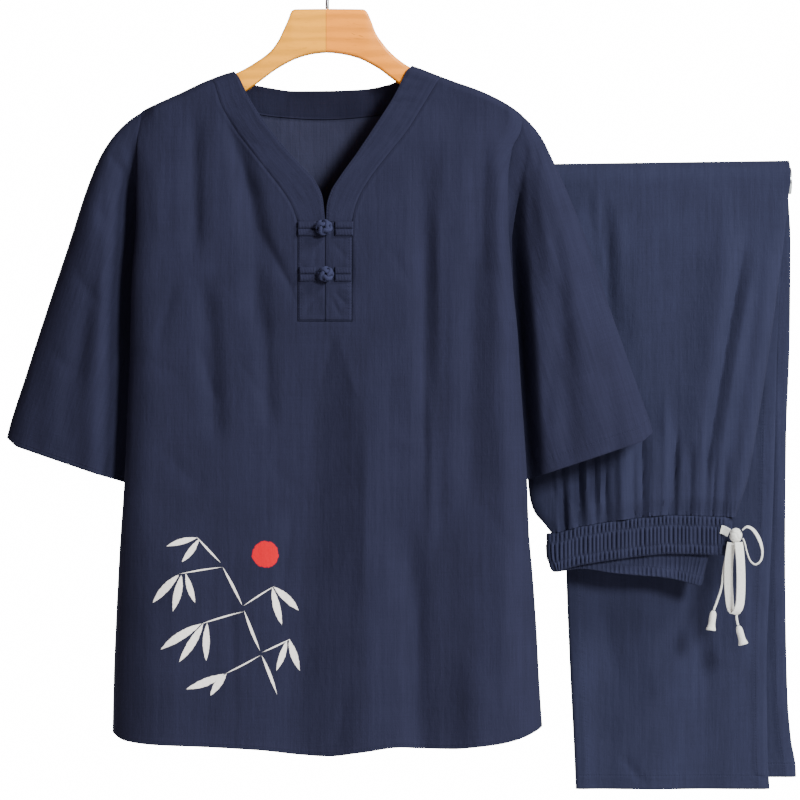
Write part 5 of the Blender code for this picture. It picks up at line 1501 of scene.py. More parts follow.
def front_band(hand):
    outer_over, outer_below = neck_line(hand, "outer")
    inner_over, inner_below = neck_line(hand, "inner")
    x = lerp(outer_over[:, :1], inner_over[:, :1], BAND_ACROSS)
    top = outside("front", x, RIDGE(x) - WRAP_DROP * WRAP[:, None])
    outer, inner = finer(outer_below, BAND_STEPS), finer(inner_below, BAND_STEPS)
    x = lerp(outer[:, :1], inner[:, :1], BAND_ACROSS)
    z = lerp(outer[:, 1:], inner[:, 1:], BAND_ACROSS)
    at = np.concatenate((top, outside("front", x, z)[1:]))
    seam, fold = across_width(at)
    at[..., 1] -= seam_lift(seam) + fold_lift(fold) + crumple(BAND_CREASES[hand], at[..., 0], at[..., 2])
    grid = strip(at, seam=seam, hem=fold)
    return grid if hand == "left" else flipped(grid)


def back_band():
    upper = back_neck_line("inner")
    lower = back_neck_line("outer")
    rows = []
    for c in BAND_ACROSS:
        ends = []
        for k in (0, 2):
            x = lerp(upper[k][:, 0], lower[k][:, 0], c)
            ends.append(outside("back", x, RIDGE(x) - WRAP_DROP * WRAP))
        middle = finer(lerp(upper[1], lower[1], c), BAND_STEPS)
        between = outside("back", middle[:, 0], middle[:, 1])
        rows.append(np.concatenate((ends[0], between[1:-1], ends[1][::-1]))[::-1])
    at = np.array(rows)
    down = down_columns(at)
    left = down[-1:] - down
    at[..., 1] += seam_lift(left) + fold_lift(down)
    return block(at, seam=left, hem=down)


def fold_lift(away):
    """Relief of a folded edge and its row of stitches."""
    return (-FOLD_ROLL * (1 - rounded(away / (2 * FOLD_ROLL)))
            - STITCH_DEEP * np.exp(-((away - EDGE_STITCH) / STITCH_HALF) ** 2))


def placket_block(start, end):
    """One strip of the placket, from its outer edge at x = start or end to the slit."""
    columns, rows = (np.linspace(0, 1, steps + 1) for steps in PLACKET_FINE)
    x = lerp(start, end, columns)[None]
    z = lerp(PLACKET_TOP - SEAM_GAP, PLACKET_LOW + SEAM_GAP, lerp(rows, smooth(rows), EDGE_CROWD))[:, None]
    at = outside("front", x, z)
    x, z = at[..., 0], at[..., 2]
    seam = np.minimum(np.minimum(x - PLACKET_LEFT, PLACKET_RIGHT - x), z - PLACKET_LOW)
    slit = np.abs(x - SLIT_X)
    at[..., 1] -= PLACKET_STAND * smooth(seam / STAND_SLOPE) + seam_lift(seam)
    at[..., 1] -= crumple(PLACKET_CREASES, x, z) - SLIT_ROLL * np.exp(-slit / SLIT_SLOPE)
    return block(at, seam=seam)


def sleeve_block(hand):
    """A sleeve from its armhole to its cuff: beta is 0 at its outer edge and pi at its inner one."""
    side, table = SIDES[hand], SLEEVES[hand]
    turn = np.linspace(0, 2 * math.pi, SLEEVE_COLUMNS + 1)[None]
    beta = turn if hand == "left" else math.pi - turn
    before = np.sin(beta) > 1e-9
    e = (1 + np.cos(beta)) / 2
    z = lerp(side.under, side.top, e)
    recess = smooth((side.top - z) / SHOULDER_DROP)
    half = np.clip(armhole(side, z) - RIDGE_GAP - CLOTH * recess, 0, None)
    x = turned_x(side, z, 0.0) + side.sign * (SLEEVE_GAP + recess * CLOTH / 2)
    first = placed(x, np.where(before, -half, half), z)

    w = SLEEVE_SHARES[:, None]
    x = lerp(table["inner_x"](w), table["outer_x"](w), e)
    z = lerp(table["inner_z"](w), table["outer_z"](w), e)
    corner = smooth((e - 1 + CUFF_CORNER_SHARE) / CUFF_CORNER_SHARE)
    z = z + CUFF_CORNER * corner * smooth((w - CUFF_CORNER_START) / (1 - CUFF_CORNER_START))
    hold = (1 - w) ** ARMHOLE_HOLD
    reach = turned_x(side, z, 0.0) + side.sign * ARMHOLE_STAND
    x = lerp(x, reach, hold * (1 - np.abs(2 * e - 1)))
    shape = np.sqrt(np.clip(1 - np.abs(2 * e - 1) ** 3, 0, None))
    out = side.sign * (x - body_edge(side, z))
    valley = lerp(RECESS_SHARE, 1.0, smooth(out / RECESS_WIDTH[hand]))
    valley = lerp(1.0, valley, smooth((side.top - SHOULDER_LEVEL - z) / SHOULDER_DROP))
    folds = relief(SLEEVE_FOLDS[hand], x, z) + crumple(SLEEVE_CREASES[hand], x, z)
    front = -shape * (table["front"](w) * valley + folds * shape)
    rest = placed(x, np.where(before, front, shape * table["back"](w) * valley), z)

    start = [lerp(first[0], rest[0], share) for share in np.linspace(0, 1, SLEEVE_START + 1)[:-1]]
    at = np.concatenate((np.array(start), rest))
    down = down_columns(at)
    away = down[-1:] - down
    lift = hem_lift(away, CUFF_STITCH[hand], CUFF_SLOPE) + seam_lift(down)
    out = np.where(before, -1.0, 1.0) * shape[-1:] ** 0.5
    at[..., 1] += out * lift
    lean = side.sign * SLEEVE_LEAN
    u = at[..., 0] * math.cos(lean) + at[..., 2] * math.sin(lean)
    v = at[..., 2] * math.cos(lean) - at[..., 0] * math.sin(lean)
    return Grid(at, np.stack((u, v), axis=-1), {"hem": away, "seam": down})


def rod_z(x):
    return ROD_Z + ROD_SLOPE * (x - ROD_MID)


def waist_z(layer, x):
    """Height of a layer's seam with the waistband."""
    return WAIST_TOP(x) - (INNER_DROP(x) if layer.inner else 0.0)


def layer_offset(layer, place, t, x, left, right):
    """Distance of a layer from the bar's plane, t of the way from the bar to the waist or hem."""
    pair = PAIRS[layer.pair]
    centres = [lerp(p.bar_centre, getattr(p, place + "_centre"), smooth(t)) for p in PAIRS]
    half = lerp(pair.bar_half, getattr(pair, place + "_half"), smooth(t))
    centre = centres[layer.pair]
    close = (CLOTH + SEAM_GAP) / 2
    full = centre + layer.step * half
    left_end = centre + layer.step * close
    right_end = left_end
    right_turn = EDGE_TURN
    if place == "waist":
        joined = sum(centres) / 2 + (close if layer.pair else -close)
        join = smooth((t - JOIN_START["inner" if layer.inner else "outer"]) / JOIN_SPAN)
        right_end = lerp(left_end, joined, join)
        right_turn = EDGE_TURN if layer.inner else lerp(EDGE_TURN, FOLD_TURN, join)
    from_left = 1 - rounded((x - left) / EDGE_TURN)
    from_right = 1 - rounded((right - x) / right_turn)
    return full + (left_end - full) * from_left + (right_end - full) * from_right


def turned_share(x, left, right):
    """Share of a fold that is left near the edges."""
    return rounded((x - left) / EDGE_TURN) * rounded((right - x) / EDGE_TURN)


def leg_front(layer, share, u):
    """A layer in front of the bar: share is 0 at the waist and 1 at the bar."""
    z = lerp(WAIST_LINE, ROD_Z, share)
    for _ in range(3):
        left = WAIST_PART["left"](z)
        right = WAIST_PART["inner_right" if layer.inner else "right"](z)
        x = lerp(left, right, u)
        foot = waist_z(layer, x) + (SEAM_GAP if layer.pleated else HIDDEN_GAP)
        z = lerp(foot, rod_z(x), share)
    offset = layer_offset(layer, "waist", 1 - share, x, left, right)
    if layer.pleated:
        pair = PAIRS[layer.pair]
        room = 2 * lerp(pair.waist_half, pair.bar_half, smooth(share)) - CLOTH - SEAM_GAP
        lift = relief(WAIST_FOLDS + PLEATS, x, z) + crumple(WAIST_CREASES, x, z)
        lift = lift + gathered_lift(x, z, foot)
        lift = lift + BLOUSE * smooth(share / BLOUSE_FADES[0]) * smooth((1 - share) / BLOUSE_FADES[1])
        lift = np.where(lift < 0, room * np.tanh(lift / room), lift)
        offset = offset + lift * turned_share(x, left, right)
    return placed(x, ROD_Y - offset, z)


def gathered_lift(x, z, foot):
    """Fine ripples above the waistband."""
    rise = z - foot
    wander = sum(far * np.sin(x / width + start) for far, width, start in RIPPLE_WANDER)
    phase = (x + wander) * 2 * math.pi / GATHER_STEP
    vary, width = RIPPLE_VARY
    return RIPPLE * np.sin(phase) * np.exp(-rise / RIPPLE_REACH) * (1 - vary + vary * np.sin(x / width))


def leg_over(layer, angle, u):
    """A layer over the bar, at an angle from the front."""
    left, right = WAIST_PART["left"](ROD_Z), WAIST_PART["right"](ROD_Z)
    x = lerp(left, right, u)
    radius = layer_offset(layer, "hem", np.zeros_like(angle), x, left, right)
    return placed(x, ROD_Y - radius * np.cos(angle), rod_z(x) + radius * np.sin(angle))


def leg_back(layer, share, u):
    """A layer behind the bar: share is 0 at the bar and 1 at the hem."""
    name = PAIRS[layer.pair].pair
    z = lerp(ROD_Z, LEG_HEM[name], share)
    left, right = LEGS[name]["left"](z), LEGS[name]["right"](z)
    x = lerp(left, right, u)
    z = lerp(rod_z(x), LEG_HEM[name], share)
    offset = layer_offset(layer, "hem", share, x, left, right)
    lift = relief(LEG_FOLDS, x, z) + crumple(LEG_CREASES[name], x, z)
    lift = lift + FELL_RISE * (1 - smooth((np.minimum(x - left, right - x) - FELL_WIDTH) / FELL_SLOPE))
    return placed(x, ROD_Y + offset - lift * turned_share(x, left, right), z)


def leg_block(layer):
    u = leg_columns(FINE_LEGS.get(layer.node, LEG_COLUMNS))[None]
    front = leg_front(layer, WAIST_SHARES[:, None], u)
    angles = np.linspace(0, math.pi, ARC_ROWS + 1)[1:-1, None]
    over = leg_over(layer, angles, u)
    back = leg_back(layer, LEG_SHARES[:, None], u)
    at = np.concatenate((front, over, back))
    down = down_columns(at)
    long = along_rows(at)
    away = down[-1:] - down
    lift = hem_lift(away, LEG_STITCH)
    at[..., 1] += layer.step * np.where(np.arange(len(at)) < len(front), -1, 1)[:, None] * lift
    coords = np.stack((at[..., 0], -down), axis=-1)
    marks = {"hem": away, "left": long, "right": long[:, -1:] - long}
    if layer.step < 0:
        return Grid(at, coords, marks)
    return Grid(at[::-1], coords[::-1], {name: mark[::-1] for name, mark in marks.items()})


def leg_columns(count):
    """Columns of a layer, closer together at its edges."""
    t = np.linspace(0, 1, count + 1)
    return lerp(t, smooth(t), EDGE_CROWD)


def band_path():
    """The waistband's line from above: x, y, how far inner layers hang, and its gathers' phase and depth."""
    left, right, inner_right = (WAIST_PART[edge](WAIST_LINE) for edge in ("left", "right", "inner_right"))
    ys = [ROD_Y - (p.waist_centre + s * p.waist_half) for p in PAIRS for s in (-1, 1)]
    near_front, near_back, far_back, far_front = ys
    small, big = WAIST_STEP / 2, (near_front - far_front) / 2
    quarter = math.pi / 2
    path = []
    phase = 0

    def run(x0, x1, y, inner, gathers, deep):
        nonlocal phase
        for share in np.arange(PATH_STEPS * gathers) / (PATH_STEPS * gathers):
            path.append((lerp(x0, x1, share), y, inner, phase + share * gathers, deep))
        phase += gathers

    def bend(x, y, radius, start, turn, inner, steps, gathers):
        nonlocal phase
        for share in np.arange(steps) / steps:
            a = start + turn * share
            place = x + radius * math.cos(a), y + radius * math.sin(a)
            path.append((*place, inner, phase + gathers * share, 0.5))
        phase += gathers

    run(left, right - big, far_front, 0, OUTER_GATHERS, 1.0)
    bend(right - big, (far_front + near_front) / 2, big, -quarter, math.pi, 0, 36, 6)
    run(right - big, left, near_front, 0, OUTER_GATHERS, 0.8)
    bend(left, (near_front + near_back) / 2, small, quarter, math.pi, 0.5, 12, 2)
    run(left, inner_right - small, near_back, 1, INNER_GATHERS, 0.7)
    bend(inner_right - small, (near_back + far_back) / 2, small, quarter, -math.pi, 1, 12, 2)
    run(inner_right - small, left, far_back, 1, INNER_GATHERS, 0.7)
    bend(left, (far_back + far_front) / 2, small, quarter, math.pi, 0.5, 12, 2)
    return np.array(path)


def band_section():
    """Rows once round the waistband's thickness: how far out, how far down, and the share of its gathers."""
    rows = []
    down = np.linspace(0, 1, BAND_ROWS + 1)
    half = ELASTIC_WALL / 2
    for t in down:
        puff = 1.0
        for line in BAND_STITCHES:
            puff -= STITCH_HOLD * math.exp(-((t * BAND_HEIGHT - line) / STITCH_REACH) ** 2)
        edge = rounded(min(t, 1 - t) * BAND_HEIGHT / BAND_ROLL)
        rows.append((half * (0.55 + 0.45 * edge), t * BAND_HEIGHT, puff * edge))
    for t in down[::-1]:
        puff = rows[round(t * BAND_ROWS)][2]
        rows.append((-half, lerp(BAND_INSET, BAND_HEIGHT - BAND_INSET, t), puff))
    return rows


def gather_rise(phase, zone):
    """Share of its full rise that a gather has at its phase, in one row of them: no two are alike."""
    wave = phase + GATHER_SHIFTS[zone] + GATHER_WANDER * np.sin(phase * 0.9 + zone * 2.0)
    uneven = np.abs(np.sin(np.floor(wave) * 12.9898 + zone * 4.1))
    return (GATHER_LEAST + GATHER_VARY * uneven) * np.abs(np.sin(math.pi * wave)) ** GATHER_POWER


def length(name, description, default, low, high):
    return FloatProperty(
        name=name, description=description, default=default, min=low, max=high, unit="LENGTH")


def dye(name, description, *screen):
    return FloatVectorProperty(
        name=name, description=description, default=linear(*screen), size=3, min=0, max=1, subtype="COLOR")


class SuitSizes(bpy.types.PropertyGroup):
    wall: length("Cloth", "Thickness of a single layer of cloth", 0.0014, 0.0008, 0.002)
    band_wall: length("Doubled cloth", "Thickness of the neckband and the placket", 0.002, 0.001, 0.003)
    thread: length("Thread", "Distance from one thread of the weave to the next", 0.00078, 0.0003, 0.002)
    stitch: length("Stitch", "Length of one stitch with its gap", 0.0028, 0.001, 0.006)
    rib: length("Tape rib", "Width of one rib of the drawstring's tape", 0.0013, 0.0005, 0.003)
    knot_cord: length("Knot cord", "Half the thickness of the knots' rolled cord", 0.0021, 0.001, 0.004)


class SuitColours(bpy.types.PropertyGroup):
    top: dye("Top", "Linen of the top", 34, 34, 51)
    # Painted light: the inside of the top is a lighter colour than its outside, to make up for the light that
    # the garment keeps off it.
    top_inside: dye("Top, inside", "Inside of the top", 47, 47, 65)
    trousers: dye("Trousers", "Linen of the trousers", 38, 39, 57)
    knots: dye("Knots", "Rolled cord of the knots", 45, 46, 68)
    ink: dye("Print", "Brushed leaves of the print", 242, 232, 223)
    sun: dye("Sun", "Disc of the print", 205, 12, 30)
    drawstring: dye("Drawstring", "Cotton of the drawstring", 232, 228, 220)
    wood_left: dye("Left arm", "Paler wood of the hanger's left arm", 255, 166, 30)
    wood_right: dye("Right arm", "Warmer wood of the hanger's right arm", 252, 146, 22)
    steel: dye("Steel", "Hook and bar", 206, 207, 208)
    floor: dye("Floor", "Studio floor", 232, 231, 229)


class SuitStudio(bpy.types.PropertyGroup):
    distance: length("Camera distance", "From the camera to the hanger's plane", 3.6, 1, 10)
    view: length("View", "Width of what the camera sees in the hanger's plane", 0.824, 0.4, 2)
    key: FloatProperty(
        name="Lights", description="Power of the lights together", default=440.0, min=0, unit="POWER")
    key_size: length("Light size", "Width of each light", 0.8, 0.1, 3)
    fill: FloatProperty(
        name="Fill", description="Strength of the light from all round", default=0.25, min=0, max=3)
    paper: FloatProperty(
        name="Paper", description="Brightness of the white behind the suit", default=16.0, min=0, max=40)


class Sewn:
    """What the suit's operators share."""

    bl_options = {"REGISTER", "UNDO"}


class SUIT_OT_stage(Sewn, bpy.types.Operator):
    """Adds the floor, the lights and the camera"""

    bl_idname = "suit.stage"
    bl_label = "Stage"

    def execute(self, context):
        studio = context.scene.suit_studio
        aim = Vector(VIEW_CENTRE) * MM
        data = bpy.data.cameras.new("camera")
        data.sensor_width = SENSOR
        data.lens = SENSOR * studio.distance / studio.view
        data.clip_end = 20
        camera = bpy.data.objects.new("camera", data)
        camera.location = aim + Vector((0, -studio.distance, 0))
        camera.rotation_euler = (math.pi / 2, 0, 0)
        context.scene.collection.objects.link(camera)
        context.scene.camera = camera

        for name, turn, rise, share in LAMPS:
            data = bpy.data.lights.new(name, "AREA")
            data.energy = studio.key * share
            data.color = LAMP_TINT
            data.size = studio.key_size
            lamp = bpy.data.objects.new(name, data)
            across, up = math.radians(turn), math.radians(rise)
            toward = Vector((math.sin(across) * math.cos(up), -math.cos(across) * math.cos(up), math.sin(up)))
            lamp.location = aim + toward * KEY_DISTANCE
            lamp.rotation_euler = toward.to_track_quat("Z", "Y").to_euler()
            context.scene.collection.objects.link(lamp)

        world = context.scene.world or bpy.data.worlds.new("studio")
        context.scene.world = world
        world.use_nodes = True
        tree = world.node_tree
        tree.nodes.clear()
        seen, soft, rays, either, out = (tree.nodes.new(f"ShaderNode{kind}") for kind in (
            "Background", "Background", "LightPath", "MixShader", "OutputWorld"))
        for light, tint, strength in ((seen, (1, 1, 1, 1), studio.paper), (soft, FILL_TINT, studio.fill)):
            light.inputs["Color"].default_value = tint
            light.inputs["Strength"].default_value = strength
        tree.links.new(rays.outputs["Is Camera Ray"], either.inputs[0])
        tree.links.new(soft.outputs[0], either.inputs[1])
        tree.links.new(seen.outputs[0], either.inputs[2])
        tree.links.new(either.outputs[0], out.inputs["Surface"])

        floor = started(bpy.ops.mesh.primitive_circle_add, vertices=96, radius=FLOOR_RADIUS,
                        fill_type="NGON", location=(aim.x, 0, FLOOR_LEVEL * MM))
        drawn_out(0, 0, -FLOOR_THICK)
        closed()
        floor.name = "studio_floor"
        floor.data.materials.append(floor_look(context.scene.suit_colours.floor))
        return {"FINISHED"}


def cord_piece(name, line, frames, section, look):
    around = lengths_along(np.concatenate((section, section[:1])))
    coords = np.stack(np.meshgrid(around[:-1], lengths_along(line)), axis=-1)
    return tube(name, swept(line, frames, section), coords, look, periods=(around[-1], FAR))


def declare_cord(route):
    line = smooth_route(route, CORD_POINTS) * MM


def tied_knot(look):
    lat = math.pi * (np.arange(KNOT_ROWS + 1)[:, None] / KNOT_ROWS - 0.5) * KNOT_SPAN
    lon = 2 * math.pi * np.arange(KNOT_COLUMNS) / KNOT_COLUMNS
    twist = np.sin(2 * lon + 3.2 * lat) * 0.5 + np.sin(3 * lon - 2.4 * lat + 1.1) * 0.3
    crease = (1 - KNOT_CREASE * (1 - np.abs(twist)) ** 5) * np.cos(lat)
    wide, deep, high = (KNOT_EASE * radius for radius in KNOT_RADII)
    rings = placed(wide * crease * np.cos(lon), deep * crease * np.sin(lon), high * np.sin(lat))
    coords = np.stack(np.broadcast_arrays(lon, lat), axis=-1) * KNOT_RADII[2]
    periods = (2 * math.pi * KNOT_RADII[2], FAR)
    piece = tube("drawstring_knot_tied", rings + KNOT_CENTRE, coords, look, periods=periods)
    return finish_piece(piece, "drawstring_knot")


def tail_tip(row, look):
    top, foot = Vector(row.tip_top), Vector(row.tip_foot)
    along = (foot - top).normalized()
    side = along.cross(Vector((0, 1, 0))).normalized()
    a = 2 * math.pi * np.arange(TIP_COLUMNS) / TIP_COLUMNS
    around = np.outer(np.cos(a), side) + np.outer(np.sin(a), along.cross(side))
    rings = [np.array(top.lerp(foot, ring.share)) + ring.radius * around for ring in TIP_PROFILE]
    coords = np.stack(np.meshgrid(TIP_ROUND * a, TIP_STEP * np.arange(len(rings))), axis=-1)
    name = f"drawstring_tip_{row.side}"
    piece = tube(f"{name}_cap", rings, coords, look, periods=(2 * math.pi * TIP_ROUND, FAR))
    return finish_piece(piece, name)


class SUIT_OT_drawstring(Sewn, bpy.types.Operator):
    """Ties the drawstring: its knot, two loops of tape, and two thin ends with bell-shaped tips"""

    bl_idname = "suit.drawstring"
    bl_label = "Drawstring"

    def execute(self, context):
        colour = context.scene.suit_colours.drawstring
        rib = context.scene.suit_sizes.rib
        tape_look = cotton("drawstring_tape", colour, rib)
        cord_look = cotton("drawstring_cord", shade(colour, TAIL_SHADE), rib * 0.6)
        knot = tied_knot(tape_look)
        tapes = []
        for row in TAPES:
            line = smooth_route(row.route, row.sections * TAPE_FINE)
            frames = frames_along(line, row.width, row.turns)
            section = section_round(24, TAPE_WIDTH / 2, TAPE_THICK / 2, 5)
            piece = cord_piece(f"{row.node}_tape", line, frames, section, tape_look)
            tapes.append(finish_piece(piece, row.node))
            if row.node != "drawstring_exit":
                declare_cord(row.route)
        for row in TAILS:
            node = f"drawstring_tail_{row.side}"
            line = smooth_route(row.route, row.points * TAIL_FINE)
            section = section_round(16, TAIL_RADIUS, TAIL_RADIUS)
            tail = cord_piece(f"{node}_cord", line, frames_along(line, (1, 0, 0)), section, cord_look)
            finish_piece(tail, node)
            others = [tail_tip(row, cord_look)]
            if row.side == "left":
                others += [knot, tapes[0]]
            declare_cord(row.route)
        return {"FINISHED"}


class SUIT_OT_top(Sewn, bpy.types.Operator):
    """Cuts and hangs the front and the back of the top"""

    bl_idname = "suit.top"
    bl_label = "Front and back"

    def execute(self, context):
        sizes, colours = context.scene.suit_sizes, context.scene.suit_colours
        hem = (("hem", HEM_STITCH, 0),)
        # Painted light: the inside is given a lighter colour than the outside, standing in for light that
        # doesn't reach it.
        inner = linen("top_inside", colours.top_inside, sizes, hem)
        front_look = linen("top_front", colours.top, sizes, hem, ("seam",), art=printed(colours))
        back_look = linen("top_back", colours.top, sizes, hem, ("seam",))
        front = cloth("front", front_blocks(), sizes.wall, [front_look, inner])
        back = cloth("back", back_blocks(), sizes.wall, [back_look, inner])
        for piece, face in ((front, "front"), (back, "back")):
            sewn(piece, "linen", f"top_{face}", face, "hung", "hanger_wood_left", "hanger_wood_right")
        return {"FINISHED"}


class SUIT_OT_neck(Sewn, bpy.types.Operator):
    """Sews the three neckbands and the two strips of the placket"""

    bl_idname = "suit.neck"
    bl_label = "Neckband and placket"

    def execute(self, context):
        sizes, colours = context.scene.suit_sizes, context.scene.suit_colours
        colour = colours.top
        band_look = linen("neckband", colour, sizes, (("hem", EDGE_STITCH, 1),), ("seam",))
        back_look = linen("neckband_back", colour, sizes, (("hem", EDGE_STITCH, 0),), ("seam",))
        # Painted shade: the neckbands' inside is painted a little darker than their outside.
        inner = linen("neckband_inside", shade(colour, 0.92), sizes, (("hem", EDGE_STITCH, 0),))
        for node, grid, look, under in (
            ("neckband_left", front_band("left"), band_look, "front"),
            ("neckband_right", front_band("right"), band_look, "front"),
            ("neckband_back", back_band(), back_look, "back"),
        ):
            piece = cloth(f"{node}_sewn", [grid], sizes.band_wall, [look, inner])
            sewn(piece, "linen_band", node, "neckband_back" if under == "back" else "neckband", "hung", under)
        rows = (("seam", PLACKET_STITCH, 1), ("seam", PLACKET_INNER, 1))
        strip_look = linen("placket", colour, sizes, rows, ("seam",))
        for hand, edges in PLACKET_EDGES.items():
            node = f"placket_{hand}"
            piece = cloth(f"{node}_sewn", [placket_block(*edges)], sizes.band_wall, [strip_look, inner])
            sewn(piece, "linen_band", node, "placket", "laid", "front")
        return {"FINISHED"}


class SUIT_OT_sleeves(Sewn, bpy.types.Operator):
    """Sets in the two wide sleeves"""

    bl_idname = "suit.sleeves"
    bl_label = "Sleeves"

    def execute(self, context):
        sizes, colours = context.scene.suit_sizes, context.scene.suit_colours
        for hand in SIDES:
            lines = (("hem", CUFF_STITCH[hand], 0),)
            look = linen(f"sleeve_{hand}", colours.top, sizes, lines, ("seam",))
            # Painted light: the sleeve's inside is given a lighter colour than its outside, standing in for
            # light that doesn't reach it.
            inner = linen(f"sleeve_{hand}_inside", colours.top_inside, sizes, lines)
            node = f"sleeve_{hand}"
            piece = cloth(f"{node}_sewn", [sleeve_block(hand)], sizes.wall, [look, inner])
            sewn(piece, "linen", node, "sleeve", "hung", "front", "back")
        return {"FINISHED"}


def leaf(node, x0, x1, z_mid, look):
    """A loop of cord laid flat, its two sides next to each other."""
    across = np.linspace(-1, 1, LEAF_ACROSS)
    hump = np.sqrt(np.clip(1 - np.abs(2 * np.abs(across) - 1) ** LEAF_POWER, 0, None))
    hump = np.maximum(hump, LEAF_CREASE * (np.abs(across) < LEAF_CREASE))
    tip, tip_rise, tip_height = LEAF_TIP
    rings = []
    for x in np.linspace(x0, x1, LEAF_ALONG):
        full = lerp(tip_rise, 1, float(rounded(min(x - x0, x1 - x) / tip)))
        z = z_mid + across * LEAF_HALF * lerp(tip_height, 1, full)
        surface = outside("front", x, z)[:, 1] - PLACKET_STAND - SEAM_GAP
        crimp = 1 + LEAF_CRIMP * np.sin(x * 2.1 + across * 3)
        front = placed(x, surface - LEAF_RISE * hump * full * crimp, z)
        rear = placed(x, surface, z)[::-4][1:-1]
        rings.append(np.concatenate((front, rear)))
    rings = np.array(rings)
    piece = tube(f"{node}_cord", rings, rings[..., ::2], look)
    finish_piece(piece, node)


def button_knot(button, radius, look):
    x, z = button.x, button.z
    rise = min(float(outside("front", x + dx, z + dz)[1]) for dx in BUTTON_SEAT for dz in BUTTON_SEAT)
    centre = np.array((x, rise - PLACKET_STAND - SEAM_GAP - BUTTON_DEEP * BUTTON_FLAT, z))
    s = np.linspace(0, 2 * math.pi, KNOT_PATH + 1)[:-1]
    lat = math.radians(KNOT_REACH) * np.cos(KNOT_BIGHTS * s)
    lon = KNOT_LEADS * s + button.turn
    weave = 1 + KNOT_WEAVE * np.sin(KNOT_BIGHTS * (KNOT_LEADS - 1) * s)
    wide, high, deep = button.wide - radius, button.high - radius, BUTTON_DEEP - radius * KNOT_SUNK
    line = centre + np.stack((
        wide * np.cos(lat) * np.cos(lon) * weave,
        -deep * np.sin(lat) * weave,
        high * np.cos(lat) * np.sin(lon) * weave,
    ), axis=-1)
    ahead = np.roll(line, -1, axis=0) - np.roll(line, 1, axis=0)
    ahead /= np.linalg.norm(ahead, axis=1, keepdims=True)
    out = line - centre
    out /= np.linalg.norm(out, axis=1, keepdims=True)
    over = np.cross(ahead, out)
    over /= np.linalg.norm(over, axis=1, keepdims=True)
    out = np.cross(over, ahead)
    section = section_round(KNOT_SIDES, *(radius * share for share in KNOT_FLATTENED))
    rings = line[:, None] + over[:, None] * section[None, :, :1] + out[:, None] * section[None, :, 1:]
    long = lengths_along(np.concatenate((line, line[:1])))
    around = np.arange(KNOT_SIDES) * 2 * math.pi * radius / KNOT_SIDES
    coords = np.stack(np.meshgrid(around, long[:-1]), axis=-1)
    periods = (2 * math.pi * radius, long[-1])
    piece = tube(f"{button.node}_tied", rings, coords, look, True, periods)
    finish_piece(piece, button.node)


class SUIT_OT_frogs(Sewn, bpy.types.Operator):
    """Lays the four leaves of doubled cord and ties the two knots"""

    bl_idname = "suit.frogs"
    bl_label = "Leaves and knots"

    def execute(self, context):
        sizes, colours = context.scene.suit_sizes, context.scene.suit_colours
        leaf_look = linen("leaf_cord", colours.top, sizes)
        knot_look = linen("knot_cord", colours.knots, sizes)
        for place, end in LEAF_ENDS.items():
            for hand, x0, x1 in (("left", -end, -LEAF_START), ("right", LEAF_START, end)):
                leaf(f"frog_{place}_{hand}", SLIT_X + x0, SLIT_X + x1, LEAF_LINE[place], leaf_look)
        for button in BUTTONS:
            button_knot(button, sizes.knot_cord / MM, knot_look)
        return {"FINISHED"}


def wood_section(x, longest):
    """The wood's top, underside and half thickness."""
    return (float(RIDGE(x)) - BAND_WALL - REST_GAP, float(WOOD_LOW(x)),
            lerp(WOOD_HALF, WOOD_END_HALF, abs(x) / longest))


def hanger_arm(hand, stations_x, look):
    """A rounded rectangle at the arms' joint, drawn out from station to station."""
    longest = abs(stations_x[-1])
    xs = finer([(x,) for x in stations_x[:-1]], WOOD_STEPS)[:, 0].tolist()
    top, low, half = wood_section(xs[0], longest)
    place = Vector((xs[0], 0, (top + low) / 2)) * MM
    arm = started(bpy.ops.mesh.primitive_plane_add, size=1, location=place, rotation=(0, math.pi / 2, 0))
    bpy.ops.transform.resize(value=(1, 2 * half * MM, (top - low) * MM), center_override=place)
    bpy.ops.mesh.select_mode(type="VERT")
    for radius, sign in ((WOOD_CROWN, 1), (WOOD_EASE, -1)):
        picked(arm, lambda co: (co.z - place.z) * sign > (top - low) * 0.3 * MM)
        bpy.ops.mesh.bevel(affect="VERTICES", offset=radius * MM, segments=7, profile=0.5)
    bpy.ops.mesh.select_all(action="SELECT")
    for before, x in zip(xs, xs[1:]):
        was_top, was_low, was_half = wood_section(before, longest)
        top, low, half = wood_section(x, longest)
        drawn_out((x - before) * MM, 0, (low - was_low) * MM)
        bpy.ops.transform.resize(value=(1, half / was_half, 1), center_override=(x * MM, 0, low * MM))
        level = (was_top - was_low) / 2 + low
        near = abs(x - before) * 0.5
        picked(arm, lambda co: abs(co.x - x * MM) < near * MM and co.z > level * MM)
        grow = ((top - low) - (was_top - was_low)) * MM
        bpy.ops.transform.translate(value=(0, 0, grow))
        picked(arm, lambda co: abs(co.x - x * MM) < near * MM)
    reach, was, kept = stations_x[-1] - xs[-1], 0.0, 1.0
    for share in WOOD_TIP:
        keep = lerp(WOOD_END_SHRINK, 1, math.sqrt(1 - share * share))
        drawn_out(reach * (share - was) * MM, 0, 0)
        middle = ((xs[-1] + reach * share) * MM, 0, (top + low) / 2 * MM)
        bpy.ops.transform.resize(value=(1, keep / kept, keep / kept), center_override=middle)
        was, kept = share, keep
    faced_out()
    arm.name = f"hanger_arm_{hand}"
    bpy.ops.object.shade_smooth_by_angle(angle=math.radians(SMOOTH_ANGLE))
    arm.data.materials.append(look)
    finish_piece(arm, f"hanger_wood_{hand}")


